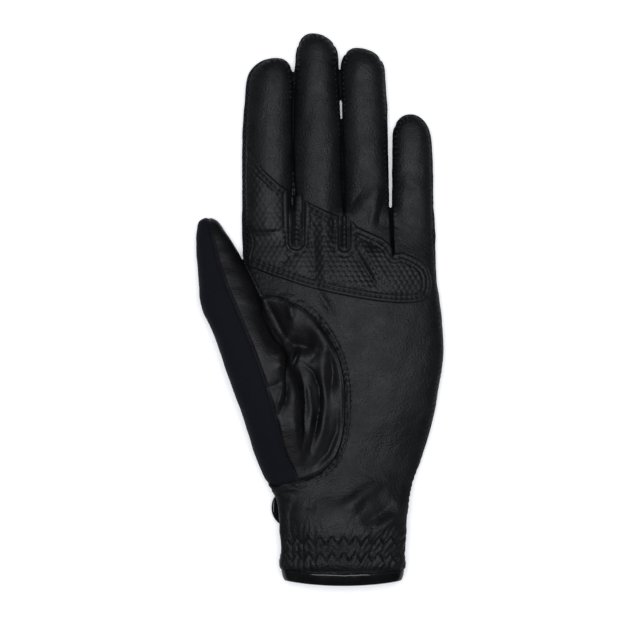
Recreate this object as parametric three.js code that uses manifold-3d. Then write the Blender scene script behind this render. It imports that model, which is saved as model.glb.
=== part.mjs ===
// A left-hand riding glove, lying on its back with the palm up.
//
// X runs across the hand, with the thumb at -X. Y runs from the cuff's hem to the
// fingertips. Z is up, away from the surface the glove lies on. Units are millimetres.
// The origin is the centre of the glove's box, at its base.
//
// The glove is hollow: a hand, four fingers and a thumb are lofted through sections,
// once for the outer face and once for the inner face, and the wall between them is
// cut along the seams into the panels that the real glove is sewn from.
import * as THREE from "three";
import { mergeVertices } from "three/addons/utils/BufferGeometryUtils.js";
import Module from "manifold-3d";

const wasm = await Module();
wasm.setup();

// Driving sizes
const handLength = 156; // hem to the finger roots
const palmWidth = 85; // widest part of the hand, laid flat
const palmThickness = 17;
const palmSink = 0.7; // how much of the palm's and fingers' rounded backs is pressed flat
const wristThickness = 15.5;
const wristLift = 3.6; // the closure strap lies under the wrist
const wall = 1.2; // leather and fabric alike
const seamGap = 0.3; // between two panels, and between a panel and what lies on it
const sideSeamHeight = 9; // palm panel above, back panel below
const thumbBelowFingers = 110; // finger roots down to the lower end of the thumb panel
const thumbRise = 114; // lower end of the thumb panel to the thumb's tip
const thumbThickness = 17;
const fingerLength = 84; // the middle finger, from its root to its tip
const fingerThickness = 13.6;
const tipLength = 12.5; // the rounded end of a finger
const fourchetteHeight = 4.4;
const fourchetteStop = 5; // a side strip ends this far short of its fingertip
const patchThickness = 0.8;
const patchSideGap = 1; // the patch stays this far above the side seam
const hemStart = 1.8; // the panels' lower edge, inside the binding
const hemBow = 2; // the hem dips in the middle
const bindingHeight = 5.2;
const bindingThickness = 1;
const pleatDepth = 0.45; // gathers on the elastic
const strapWidth = 17;
const strapThickness = 1.6;
const strapLength = 45;
const strapCentre = 33.4; // hem to the strap's middle
const strapOverhang = 5; // the strap's free end passes the wrist's edge
const strapLift = 1.6; // the free end stands off the wrist
const ventWidth = 2.4; // slit in the back of the wrist
const ventPast = 2; // the slit ends this far past the strap

// Fingers. length and thick: shares of the finger length and thickness above. tip: where the
// very tip lies across, as a share of the palm's width.
const fingers = [
  { name: "index", length: 0.874, thick: 1, tip: -0.335 },
  { name: "middle", length: 1, thick: 1.03, tip: -0.165 },
  { name: "ring", length: 0.926, thick: 1, tip: 0.07 },
  { name: "little", length: 0.581, thick: 0.93, tip: 0.342 },
];

// Finger sections. at: share of the finger's length. left, right: shares of the palm's width.
const fingerSections = [
  { finger: "index", at: 0, left: -0.517, right: -0.27 },
  { finger: "index", at: 0.5, left: -0.519, right: -0.265 },
  { finger: "index", at: 0.85, left: -0.5, right: -0.254 },
  { finger: "middle", at: 0, left: -0.262, right: 0.001 },
  { finger: "middle", at: 0.5, left: -0.258, right: -0.012 },
  { finger: "middle", at: 0.85, left: -0.246, right: -0.028 },
  { finger: "ring", at: 0, left: 0.009, right: 0.24 },
  { finger: "ring", at: 0.5, left: -0.004, right: 0.23 },
  { finger: "ring", at: 0.85, left: -0.018, right: 0.218 },
  { finger: "little", at: 0, left: 0.25, right: 0.467 },
  { finger: "little", at: 0.4, left: 0.243, right: 0.463 },
  { finger: "little", at: 0.8, left: 0.247, right: 0.452 },
];

// Hand sections. at: share of the hand's length. left, right: shares of the palm's width.
// wrist: 1 in the raised wrist, 0 in the palm. full: share of the thickness there.
const handSections = [
  { at: 0, left: -0.303, right: 0.298, wrist: 1, full: 0.93 },
  { at: 0.036, left: -0.308, right: 0.3, wrist: 1, full: 0.94 },
  { at: 0.055, left: -0.328, right: 0.315, wrist: 1, full: 1 },
  { at: 0.08, left: -0.322, right: 0.313, wrist: 1, full: 1.01 },
  { at: 0.115, left: -0.318, right: 0.313, wrist: 1, full: 0.99 },
  { at: 0.15, left: -0.317, right: 0.313, wrist: 1, full: 1.02 },
  { at: 0.184, left: -0.32, right: 0.314, wrist: 1, full: 1 },
  { at: 0.215, left: -0.326, right: 0.322, wrist: 0.97, full: 0.97 },
  { at: 0.25, left: -0.34, right: 0.333, wrist: 0.85, full: 0.94 },
  { at: 0.29, left: -0.374, right: 0.353, wrist: 0.6, full: 0.95 },
  { at: 0.33, left: -0.397, right: 0.384, wrist: 0.3, full: 0.97 },
  { at: 0.37, left: -0.407, right: 0.41, wrist: 0.1, full: 0.99 },
  { at: 0.41, left: -0.42, right: 0.435, wrist: 0, full: 1 },
  { at: 0.45, left: -0.431, right: 0.454, wrist: 0, full: 1 },
  { at: 0.49, left: -0.442, right: 0.469, wrist: 0, full: 1 },
  { at: 0.53, left: -0.452, right: 0.481, wrist: 0, full: 1 },
  { at: 0.57, left: -0.462, right: 0.495, wrist: 0, full: 1 },
  { at: 0.61, left: -0.471, right: 0.508, wrist: 0, full: 1 },
  { at: 0.65, left: -0.481, right: 0.513, wrist: 0, full: 1 },
  { at: 0.69, left: -0.49, right: 0.511, wrist: 0, full: 1 },
  { at: 0.73, left: -0.499, right: 0.505, wrist: 0, full: 1 },
  { at: 0.78, left: -0.508, right: 0.495, wrist: 0, full: 0.99 },
  { at: 0.83, left: -0.513, right: 0.484, wrist: 0, full: 0.97 },
  { at: 0.88, left: -0.516, right: 0.476, wrist: 0, full: 0.94 },
  { at: 0.93, left: -0.516, right: 0.471, wrist: 0, full: 0.89 },
  { at: 1, left: -0.516, right: 0.466, wrist: 0, full: 0.74 },
];

// Thumb sections. at: share of the thumb's rise. left, right: shares of the palm's width.
// base, top: shares of the thumb's thickness.
const thumbSections = [
  { at: -0.03, left: -0.345, right: -0.22, base: 0.42, top: 0.85 },
  { at: 0.04, left: -0.407, right: -0.2, base: 0.32, top: 0.98 },
  { at: 0.095, left: -0.45, right: -0.19, base: 0.27, top: 1.11 },
  { at: 0.17, left: -0.483, right: -0.192, base: 0.27, top: 1.24 },
  { at: 0.26, left: -0.525, right: -0.207, base: 0.29, top: 1.34 },
  { at: 0.35, left: -0.568, right: -0.23, base: 0.29, top: 1.39 },
  { at: 0.44, left: -0.613, right: -0.267, base: 0.27, top: 1.39 },
  { at: 0.52, left: -0.646, right: -0.302, base: 0.24, top: 1.35 },
  { at: 0.585, left: -0.68, right: -0.348, base: 0.2, top: 1.28 },
  { at: 0.635, left: -0.715, right: -0.385, base: 0.18, top: 1.21 },
  { at: 0.68, left: -0.733, right: -0.41, base: 0.16, top: 1.16 },
  { at: 0.78, left: -0.744, right: -0.478, base: 0.12, top: 1.02 },
  { at: 0.88, left: -0.753, right: -0.55, base: 0.08, top: 0.86 },
  { at: 0.95, left: -0.751, right: -0.613, base: 0.08, top: 0.71 },
  { at: 0.99, left: -0.735, right: -0.655, base: 0.16, top: 0.55 },
  { at: 1, left: -0.72, right: -0.672, base: 0.24, top: 0.46 },
];

// Seam between the thumb's fabric back and its leather front, seen from above.
// x: share of the palm's width. y: share of the thumb's rise.
const thumbSeam = [
  { x: -0.24, y: -0.1 },
  { x: -0.24, y: 0 },
  { x: -0.3, y: 0.1 },
  { x: -0.34, y: 0.22 },
  { x: -0.39, y: 0.35 },
  { x: -0.447, y: 0.47 },
  { x: -0.5, y: 0.57 },
  { x: -0.55, y: 0.66 },
  { x: -0.598, y: 0.74 },
  { x: -0.637, y: 0.82 },
  { x: -0.664, y: 0.9 },
  { x: -0.692, y: 1 },
  { x: -0.7, y: 1.1 },
];

// The oval seam of the thumb panel in the palm: half an ellipse, open towards the thumb.
// x, across: shares of the palm's width. y, along: shares of the thumb's rise.
const oval = { x: -0.415, y: 0.329, across: 0.461, along: 0.367 };

// Folds pressed into the palm side. x and width: shares of the palm's width.
// y: share of the hand's length. rise: share of the palm's thickness, below 0 for a dent.
const folds = [
  { name: "crotch hook, upper", x1: -0.3, y1: 0.745, x2: -0.14, y2: 0.672, width: 0.055, rise: -0.15 },
  { name: "crotch hook, lower", x1: -0.14, y1: 0.668, x2: -0.23, y2: 0.622, width: 0.045, rise: -0.13 },
  { name: "hook's outer ridge", x1: -0.115, y1: 0.7, x2: -0.1, y2: 0.62, width: 0.05, rise: 0.07 },
  { name: "long ridge", x1: -0.12, y1: 0.58, x2: -0.155, y2: 0.38, width: 0.05, rise: 0.08 },
  { name: "long dent", x1: -0.19, y1: 0.59, x2: -0.195, y2: 0.42, width: 0.04, rise: -0.1 },
  { name: "middle ridge", x1: -0.24, y1: 0.56, x2: -0.235, y2: 0.42, width: 0.045, rise: 0.06 },
  { name: "inner dent", x1: -0.29, y1: 0.59, x2: -0.32, y2: 0.49, width: 0.04, rise: -0.09 },
  { name: "patch dent", x1: 0.045, y1: 0.93, x2: 0.17, y2: 0.83, width: 0.05, rise: -0.09 },
  { name: "patch ridge", x1: -0.09, y1: 0.98, x2: -0.085, y2: 0.82, width: 0.05, rise: 0.05 },
  { name: "palm dent", x1: -0.1, y1: 0.81, x2: -0.045, y2: 0.755, width: 0.045, rise: -0.06 },
  { name: "wrist dent", x1: 0.05, y1: 0.19, x2: 0.28, y2: 0.27, width: 0.05, rise: -0.08 },
  { name: "wrist ridge", x1: -0.04, y1: 0.21, x2: 0.22, y2: 0.285, width: 0.045, rise: 0.06 },
];

// Outline of the grip patch, anticlockwise from its lower left corner. x: share of the
// palm's width. y: share of the hand's length. The notches leave the finger roots free.
const patchOutline = [
  { x: -0.52, y: 0.886 },
  { x: -0.43, y: 0.881 },
  { x: -0.334, y: 0.853 },
  { x: -0.21, y: 0.829 },
  { x: -0.092, y: 0.81 },
  { x: 0.025, y: 0.797 },
  { x: 0.157, y: 0.785 },
  { x: 0.274, y: 0.781 },
  { x: 0.369, y: 0.781 },
  { x: 0.42, y: 0.79 },
  { x: 0.446, y: 0.811 },
  { x: 0.45, y: 0.832 },
  { x: 0.44, y: 0.861 },
  { x: 0.41, y: 0.889 },
  { x: 0.369, y: 0.909 },
  { x: 0.3, y: 0.935 },
  { x: 0.285, y: 0.9 },
  { x: 0.25, y: 0.9 },
  { x: 0.236, y: 0.985 },
  { x: 0.18, y: 0.992 },
  { x: 0.11, y: 1 },
  { x: 0.038, y: 1.023 },
  { x: 0.022, y: 0.935 },
  { x: -0.008, y: 0.935 },
  { x: -0.022, y: 1.035 },
  { x: -0.062, y: 1.04 },
  { x: -0.225, y: 1.072 },
  { x: -0.238, y: 0.935 },
  { x: -0.268, y: 0.935 },
  { x: -0.282, y: 1.085 },
  { x: -0.334, y: 1.104 },
  { x: -0.385, y: 1.124 },
  { x: -0.422, y: 1.144 },
  { x: -0.459, y: 1.172 },
  { x: -0.515, y: 1.235 },
  { x: -0.56, y: 1.235 },
  { x: -0.56, y: 0.886 },
];

// How finely the sections are drawn
const handColumns = { top: 21, bottom: 7 };
const fingerColumns = { top: 8, bottom: 4 };
const thumbColumns = { top: 11, bottom: 5 };
const fingerRows = [-0.12, 0.2, 0.5]; // straight rows below the rounded tip
const tipAngles = [0, 32, 56, 78];
const tipRoundness = 2.2;
const topRoundness = 2.3;
const baseRoundness = 3.4;
const gatherRows = [3, 6]; // first and last hand section with pleats
const bowFade = 0.15; // share of the hand's length over which the hem's dip fades out
const foldFade = { low: 0.2, high: 0.8 }; // folds fade out down the sides
const tipHeight = 0.25; // a rounded end keeps this share of the finger's height
const leastHalf = 0.3; // half of the thinnest section drawn
const ovalStep = 10; // degrees between two points of the oval seam
const strapStep = 15; // degrees between two points of the strap's rounded end

const thumbRoot = handLength - thumbBelowFingers;
const far = 400; // larger than the glove, for cutters
const degrees = Math.PI / 180;

// A closed solid of a three.js geometry.
function solidOf(geometry) {
  geometry.deleteAttribute("normal");
  geometry.deleteAttribute("uv");
  const merged = mergeVertices(geometry, 1e-4);
  return new wasm.Manifold(
    new wasm.Mesh({
      numProp: 3,
      vertProperties: merged.attributes.position.array,
      triVerts: new Uint32Array(merged.index.array),
    }),
  );
}

// A closed solid through rings of points, each ring anticlockwise seen from -Y.
function loft(rings) {
  const count = rings[0].length;
  const points = rings.flat();
  const faces = [];
  for (let row = 0; row + 1 < rings.length; row++) {
    for (let i = 0; i < count; i++) {
      const a = row * count + i;
      const b = row * count + ((i + 1) % count);
      faces.push(a, a + count, b, b, a + count, b + count);
    }
  }
  const closeEnd = (first, turn) => {
    const middle = points.length;
    const ring = points.slice(first, first + count);
    points.push(ring.reduce((sum, p) => sum.add(p), new THREE.Vector3()).divideScalar(count));
    for (let i = 0; i < count; i++) {
      const a = first + i;
      const b = first + ((i + 1) % count);
      faces.push(middle, turn ? b : a, turn ? a : b);
    }
  };
  closeEnd(0, false);
  closeEnd((rings.length - 1) * count, true);
  return solidOf(new THREE.BufferGeometry().setFromPoints(points).setIndex(faces));
}

// How far a fold lifts or dents the palm side at a place.
function relief(x, y) {
  let rise = 0;
  for (const fold of folds) {
    const start = new THREE.Vector2(fold.x1 * palmWidth, fold.y1 * handLength);
    const along = new THREE.Vector2(fold.x2 * palmWidth, fold.y2 * handLength).sub(start);
    const to = new THREE.Vector2(x, y).sub(start);
    const share = THREE.MathUtils.clamp(to.dot(along) / along.lengthSq(), 0, 1);
    const away = to.addScaledVector(along, -share).length() / (fold.width * palmWidth);
    rise += fold.rise * palmThickness * Math.exp(-away * away);
  }
  return rise;
}

// One ring of a section: over the top from right to left, then back along the base.
// grow moves the ring outwards, and may be a function of the share across.
function sectionRing(section, columns, grow, bow = 0, pleat = 0) {
  const { y, left, right, base, top } = section;
  const centre = (left + right) / 2;
  const half = (right - left) / 2;
  const level = (top + base) / 2;
  const height = (top - base) / 2;
  const ring = [];
  const place = (share, side, roundness, index) => {
    const d = (typeof grow === "function" ? grow(share) : grow) + (index % 2 ? pleat : -pleat);
    const x = centre + (half + d) * share;
    const arch = (1 - Math.abs(share) ** roundness) ** (1 / roundness);
    const folded = side > 0 ? relief(x, y) * THREE.MathUtils.smoothstep(arch, foldFade.low, foldFade.high) : 0;
    const z = level + side * (height + d) * arch + folded;
    ring.push(new THREE.Vector3(x, y + bow * share * share, Math.max(z, -d)));
  };
  const across = (step, steps) => {
    const even = 1 - (2 * step) / steps;
    const rounded = Math.cos((Math.PI * step) / steps);
    return (even + rounded) / 2;
  };
  for (let i = 0; i < columns.top; i++) place(across(i, columns.top), 1, topRoundness, i);
  for (let i = 0; i < columns.bottom; i++) place(-across(i, columns.bottom), -1, baseRoundness, i);
  return ring;
}

function handRings(grow, firstY, lastY) {
  const { lerp } = THREE.MathUtils;
  return handSections.map((s, row) => {
    const first = row === 0;
    const last = row === handSections.length - 1;
    const inPleats = row >= gatherRows[0] && row <= gatherRows[1];
    const section = {
      y: first ? firstY : last ? lastY : s.at * handLength,
      left: s.left * palmWidth,
      right: s.right * palmWidth,
      base: lerp(-palmSink, wristLift, s.wrist),
      top: wristLift * s.wrist + lerp(palmThickness, wristThickness, s.wrist) * s.full,
    };
    const bow = hemBow * Math.max(0, 1 - s.at / bowFade);
    return sectionRing(section, handColumns, grow, bow, inPleats ? pleatDepth : 0);
  });
}

// A finger's left and right edges at a height y above the hem, rounded off at the tip.
function fingerEdges(finger, y, size = 1) {
  const at = (y - handLength) / (finger.length * fingerLength);
  const rows = fingerSections.filter((s) => s.finger === finger.name);
  const above = Math.max(1, rows.findIndex((s) => s.at > at));
  const upper = at > rows.at(-1).at ? rows.at(-1) : rows[above];
  const lower = at > rows.at(-1).at ? rows.at(-1) : rows[above - 1];
  const share = upper === lower ? 0 : (at - lower.at) / (upper.at - lower.at);
  const left = THREE.MathUtils.lerp(lower.left, upper.left, share) * palmWidth;
  const right = THREE.MathUtils.lerp(lower.right, upper.right, share) * palmWidth;
  const middle = THREE.MathUtils.lerp(finger.tip * palmWidth, (left + right) / 2, size);
  const half = ((right - left) / 2) * size;
  return { left: middle - half, right: middle + half };
}

function fingerRings(finger, grow) {
  const length = finger.length * fingerLength;
  const thickness = finger.thick * fingerThickness;
  const tipY = handLength + length;
  const straight = fingerRows.map((share) => ({ y: handLength + share * length, size: 1, reach: 0 }));
  const dome = tipAngles.map((angle) => ({
    y: tipY - tipLength * (1 - Math.sin(angle * degrees) ** (2 / tipRoundness)),
    size: Math.cos(angle * degrees) ** (2 / tipRoundness),
    reach: Math.sin(angle * degrees),
  }));
  return [...straight, ...dome].map(({ y, size, reach }) => {
    const edges = fingerEdges(finger, y, size);
    const height = (thickness / 2) * THREE.MathUtils.lerp(tipHeight, 1, size);
    const level = (thickness - palmSink) / 2;
    const section = { ...edges, y: y + grow * reach, base: level - height, top: level + height };
    return sectionRing(section, fingerColumns, grow);
  });
}

function thumbRings(grow) {
  const rows = thumbSections.length - 1;
  return thumbSections.map((s, row) => {
    const section = {
      y: thumbRoot + s.at * thumbRise + (row === rows ? grow : 0),
      left: s.left * palmWidth,
      right: s.right * palmWidth,
      base: s.base * thumbThickness,
      top: s.top * thumbThickness,
    };
    const thin = Math.min(section.right - section.left, section.top - section.base) / 2;
    return sectionRing(section, thumbColumns, Math.max(grow, leastHalf - thin));
  });
}

// The hand with its fingers, grown outwards by some distance.
function handForm(grow, firstY = hemStart, lastY = handLength + Math.min(grow, 0)) {
  const hand = loft(handRings(grow, firstY, lastY));
  return fingers.reduce((form, finger) => form.add(loft(fingerRings(finger, grow))), hand);
}

// A prism over a plan outline, between two heights.
function prism(points, low, high) {
  const shape = new THREE.Shape(points.map(([x, y]) => new THREE.Vector2(x, y)));
  const geometry = new THREE.ExtrudeGeometry(shape, { depth: high - low, bevelEnabled: false });
  return solidOf(geometry.translate(0, 0, low));
}

function block(x1, x2, y1, y2, z1, z2) {
  return prism([[x1, y1], [x2, y1], [x2, y2], [x1, y2]], z1, z2);
}

// The wall of the hand and the wall of the thumb
const outerHand = handForm(0);
const innerHand = handForm(-wall, -wall);
const outerThumb = loft(thumbRings(0));
const clearOfThumb = loft(thumbRings(seamGap));
const innerThumb = loft(thumbRings(-wall));
const handWall = outerHand.subtract(innerHand).subtract(innerThumb);
const thumbWall = outerThumb.subtract(innerThumb).subtract(innerHand);

// The region of the thumb panel in the palm: left of the oval seam, above the side seam
function ovalRegion(grow, low) {
  const middle = [oval.x * palmWidth, thumbRoot + oval.y * thumbRise];
  const across = oval.across * palmWidth + grow;
  const along = oval.along * thumbRise + grow;
  const arc = [];
  for (let angle = -90; angle <= 90; angle += ovalStep) {
    arc.push([middle[0] + across * Math.cos(angle * degrees), middle[1] + along * Math.sin(angle * degrees)]);
  }
  return prism([[-far, middle[1] - along], ...arc, [-far, middle[1] + along]], low, far);
}

// The region left of the thumb's seam
function thumbBackRegion(grow) {
  const seam = thumbSeam.map((p) => [p.x * palmWidth + grow, thumbRoot + p.y * thumbRise]);
  return prism([[-far, seam[0][1]], ...seam, [-far, seam.at(-1)[1]]], -far, far);
}

// The space between two neighbouring fingers' middles, which holds their side strips
function betweenFingers(first, second, grow, low, high) {
  const stops = [first, second].map((f) => handLength + f.length * fingerLength - fourchetteStop + grow);
  const start = handLength - wall - grow;
  const steps = [0, 0.33, 0.66, 1];
  const along = (finger, stop) => {
    return steps.map((s) => {
      const y = start + (stop - start) * s;
      const { left, right } = fingerEdges(finger, y);
      return [(left + right) / 2, y];
    });
  };
  const up = along(first, stops[0]);
  const down = along(second, stops[1]).reverse();
  const gap = fingerEdges(first, handLength).right + seamGap;
  return prism([...up, [gap, stops[0]], [gap, stops[1]], ...down], low, high);
}

const abovePalmSeam = block(-far, far, -far, far, sideSeamHeight + seamGap / 2, far);
const belowBackSeam = block(-far, far, -far, far, -far, sideSeamHeight - seamGap / 2);
const stripBase = sideSeamHeight - fourchetteHeight;

// The slit in the back of the wrist, which the strap closes
const ventLength = strapCentre + strapWidth / 2 + ventPast;
const vent = prism(
  [
    [-ventWidth / 2, -far],
    [ventWidth / 2, -far],
    [ventWidth / 2, hemStart],
    [ventWidth / 4, ventLength],
    [-ventWidth / 4, ventLength],
    [-ventWidth / 2, hemStart],
  ],
  -far,
  sideSeamHeight,
);

const palmPanel = handWall
  .intersect(abovePalmSeam)
  .subtract(ovalRegion(seamGap, 0))
  .subtract(clearOfThumb);

const thumbFront = handWall
  .intersect(abovePalmSeam)
  .intersect(ovalRegion(0, 0))
  .add(thumbWall)
  .subtract(thumbBackRegion(seamGap))
  .subtract(innerThumb);

const thumbBack = thumbWall.intersect(thumbBackRegion(0));

const strips = [0, 1, 2].map((i) =>
  handWall.intersect(
    betweenFingers(fingers[i], fingers[i + 1], 0, stripBase + seamGap / 2, sideSeamHeight - seamGap / 2),
  ),
);

const backPanel = [0, 1, 2].reduce(
  (panel, i) =>
    panel.subtract(betweenFingers(fingers[i], fingers[i + 1], seamGap, stripBase - seamGap / 2, far)),
  handWall.intersect(belowBackSeam).subtract(clearOfThumb).subtract(vent),
);

const patchRegion = prism(
  patchOutline.map((p) => [p.x * palmWidth, p.y * handLength]),
  sideSeamHeight + patchSideGap,
  far,
);
const gripPatch = handForm(seamGap + patchThickness, hemStart, handLength)
  .subtract(handForm(seamGap, hemStart, handLength))
  .intersect(patchRegion)
  .subtract(clearOfThumb);

// The binding folds over the hem, with the panels' edge in its slot
function cuffRing(outside, inside, low, high) {
  const slab = (grow) => loft(handRings(grow, low, handLength));
  const ring = slab(outside).subtract(loft(handRings(inside, low - wall, handLength)));
  return ring.intersect(block(-far, far, -far, high, -far, far));
}
const binding = cuffRing(seamGap + bindingThickness, -wall - seamGap - bindingThickness, 0, bindingHeight)
  .subtract(cuffRing(seamGap, -wall - seamGap, hemStart - seamGap, far))
  .subtract(vent);

// The strap follows the back of the wrist, and its free end stands off the thumb side
function strapShell(grow) {
  const lift = (share) => grow + strapLift * THREE.MathUtils.smoothstep(-share, 0.6, 1);
  return loft(handRings(lift, hemStart, handLength));
}
function strapOutline() {
  const half = strapWidth / 2;
  const wristRow = handSections.find((row) => row.at * handLength >= strapCentre);
  const end = wristRow.left * palmWidth - strapOverhang;
  const sewnEnd = end + strapLength;
  const points = [[sewnEnd, strapCentre - half], [sewnEnd, strapCentre + half]];
  for (let angle = 90; angle <= 270; angle += strapStep) {
    const turn = angle * degrees;
    points.push([end + half + half * Math.cos(turn), strapCentre + half * Math.sin(turn)]);
  }
  return points;
}
const strap = strapShell(seamGap + strapThickness)
  .subtract(strapShell(seamGap))
  .intersect(prism(strapOutline(), -far, sideSeamHeight));

// A mesh of a solid
function mesh(name, solid, material) {
  const { numProp, vertProperties, triVerts } = solid.getMesh();
  const positions = [];
  for (let i = 0; i < vertProperties.length; i += numProp) positions.push(...vertProperties.slice(i, i + 3));
  const geometry = new THREE.BufferGeometry()
    .setAttribute("position", new THREE.Float32BufferAttribute(positions, 3))
    .setIndex(Array.from(triVerts));
  geometry.computeVertexNormals();
  const made = new THREE.Mesh(geometry, material);
  made.name = name;
  return made;
}

const leather = new THREE.MeshStandardMaterial({ color: 0x1b1b1d, roughness: 0.55, metalness: 0 });
const softLeather = new THREE.MeshStandardMaterial({ color: 0x1d1d1e, roughness: 0.45, metalness: 0 });
const embossed = new THREE.MeshStandardMaterial({ color: 0x191a1b, roughness: 0.6, metalness: 0 });
const navyFabric = new THREE.MeshStandardMaterial({ color: 0x0c1020, roughness: 0.9, metalness: 0 });
const patent = new THREE.MeshStandardMaterial({ color: 0x0b0b0c, roughness: 0.12, metalness: 0 });

const glove = new THREE.Group();
glove.add(
  mesh("palm_panel", palmPanel, leather),
  mesh("thumb_front", thumbFront, softLeather),
  mesh("thumb_back", thumbBack, navyFabric),
  mesh("back_panel", backPanel, navyFabric),
  mesh("fourchette_index_middle", strips[0], navyFabric),
  mesh("fourchette_middle_ring", strips[1], navyFabric),
  mesh("fourchette_ring_little", strips[2], navyFabric),
  mesh("grip_patch", gripPatch, embossed),
  mesh("cuff_binding", binding, patent),
  mesh("closure_strap", strap, patent),
);

// The origin goes to the centre of the box, at its base
const box = new THREE.Box3().setFromObject(glove);
const centre = box.getCenter(new THREE.Vector3());
glove.position.set(-centre.x, -centre.y, -box.min.z);

export default glove;
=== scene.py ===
# A left-hand riding glove, lying on its back with the palm up.
#
# The glove's form is a distance field through the same sections as its solids. A fine surface
# is drawn round it, cut along the seams into the panels, and each panel is folded, gathered
# and thickened into a closed wall. Stitches, beads, binding and strap are laid on it.
# The work is done in millimetres from the middle of the hem, and moved to the frame at the end.
import math

import bpy
import numpy as np
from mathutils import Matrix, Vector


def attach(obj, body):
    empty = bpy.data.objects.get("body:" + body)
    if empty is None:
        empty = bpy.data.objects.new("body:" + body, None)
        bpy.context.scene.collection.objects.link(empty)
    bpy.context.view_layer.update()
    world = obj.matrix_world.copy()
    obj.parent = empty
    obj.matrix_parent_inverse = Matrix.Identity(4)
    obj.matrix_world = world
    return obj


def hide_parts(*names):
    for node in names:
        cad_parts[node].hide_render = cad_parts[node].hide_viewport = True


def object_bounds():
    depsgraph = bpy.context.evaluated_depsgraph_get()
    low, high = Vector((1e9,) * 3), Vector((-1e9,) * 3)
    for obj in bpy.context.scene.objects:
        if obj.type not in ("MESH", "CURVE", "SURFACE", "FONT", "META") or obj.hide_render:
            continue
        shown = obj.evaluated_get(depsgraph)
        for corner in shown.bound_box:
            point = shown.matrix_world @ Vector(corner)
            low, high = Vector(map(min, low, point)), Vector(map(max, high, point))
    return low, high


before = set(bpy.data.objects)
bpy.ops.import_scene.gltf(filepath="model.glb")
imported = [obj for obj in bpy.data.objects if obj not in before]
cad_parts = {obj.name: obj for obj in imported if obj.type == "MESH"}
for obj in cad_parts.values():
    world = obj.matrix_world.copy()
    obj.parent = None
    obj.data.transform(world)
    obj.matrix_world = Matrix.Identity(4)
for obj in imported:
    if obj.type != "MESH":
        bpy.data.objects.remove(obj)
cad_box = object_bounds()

import openvdb
from mathutils import Vector
from mathutils.bvhtree import BVHTree
from mathutils.kdtree import KDTree

MM = 0.001

# Sizes in millimetres, as in the solids
HAND_LENGTH = 156.0
PALM_WIDTH = 85.0
PALM_THICKNESS = 17.0
PALM_SINK = 0.7
WRIST_THICKNESS = 15.5
WRIST_LIFT = 3.6
SIDE_SEAM_HEIGHT = 9.0
THUMB_ROOT = 46.0
THUMB_RISE = 114.0
THUMB_THICKNESS = 17.0
FINGER_LENGTH = 84.0
FINGER_THICKNESS = 13.6
TIP_LENGTH = 12.5
FOURCHETTE_HEIGHT = 4.4
FOURCHETTE_STOP = 5.0
HEM_BOW = 2.0
BOW_FADE = 0.15
BOW_LIMIT = 1.3
HEM_HALF = 0.303
HEM_START = 1.8
STRAP_WIDTH = 17.0
STRAP_CENTRE = 33.4
VENT_WIDTH = 2.4
VENT_LENGTH = 43.9
TOP_ROUNDNESS = 2.3
BASE_ROUNDNESS = 3.4
TIP_ROUNDNESS = 2.2

# The hem's middle, in the frame
ORIGIN = np.array((10.2, cad_box[0][1] / MM, 0.0))

# Hand sections: at, left, right, wrist, full (shares, as in the solids)
HAND = np.array([
    (0, -0.303, 0.298, 1, 0.93), (0.036, -0.308, 0.3, 1, 0.94), (0.055, -0.328, 0.315, 1, 1),
    (0.08, -0.322, 0.313, 1, 1), (0.15, -0.317, 0.313, 1, 1), (0.184, -0.32, 0.314, 1, 1),
    (0.215, -0.326, 0.322, 0.97, 0.97), (0.25, -0.34, 0.333, 0.85, 0.94),
    (0.29, -0.374, 0.353, 0.6, 0.95), (0.33, -0.397, 0.384, 0.3, 0.97),
    (0.37, -0.407, 0.41, 0.1, 0.99), (0.41, -0.42, 0.435, 0, 1), (0.45, -0.431, 0.454, 0, 1),
    (0.49, -0.442, 0.469, 0, 1), (0.53, -0.452, 0.481, 0, 1), (0.57, -0.462, 0.495, 0, 1),
    (0.61, -0.471, 0.508, 0, 1), (0.65, -0.481, 0.513, 0, 1), (0.69, -0.49, 0.511, 0, 1),
    (0.73, -0.499, 0.505, 0, 1), (0.78, -0.508, 0.495, 0, 0.99), (0.83, -0.513, 0.484, 0, 0.97),
    (0.88, -0.516, 0.476, 0, 0.94), (0.93, -0.516, 0.471, 0, 0.89), (1, -0.516, 0.466, 0, 0.74),
])

# Fingers: length, thickness, tip's place across, then sections of at, left, right
FINGERS = {
    "index": (0.874, 1.0, -0.335, ((0, -0.517, -0.258), (0.5, -0.519, -0.253), (0.85, -0.5, -0.247))),
    "middle": (1.0, 1.03, -0.165, ((0, -0.27, 0.012), (0.5, -0.266, -0.002), (0.85, -0.25, -0.024))),
    "ring": (0.926, 1.0, 0.07, ((0, -0.002, 0.248), (0.5, -0.012, 0.23), (0.85, -0.022, 0.218))),
    "little": (0.581, 0.93, 0.342, ((0, 0.24, 0.467), (0.4, 0.245, 0.463), (0.8, 0.247, 0.452))),
}

# Roundness of the top's left and right halves
FINGER_ROUNDNESS = {
    "index": (1.75, 2.5), "middle": (2.1, 2.3), "ring": (2.2, 2.5), "little": (2.6, 2.6),
}
THUMB_TOP_ROUNDNESS = (2.7, 2.7)

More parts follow.
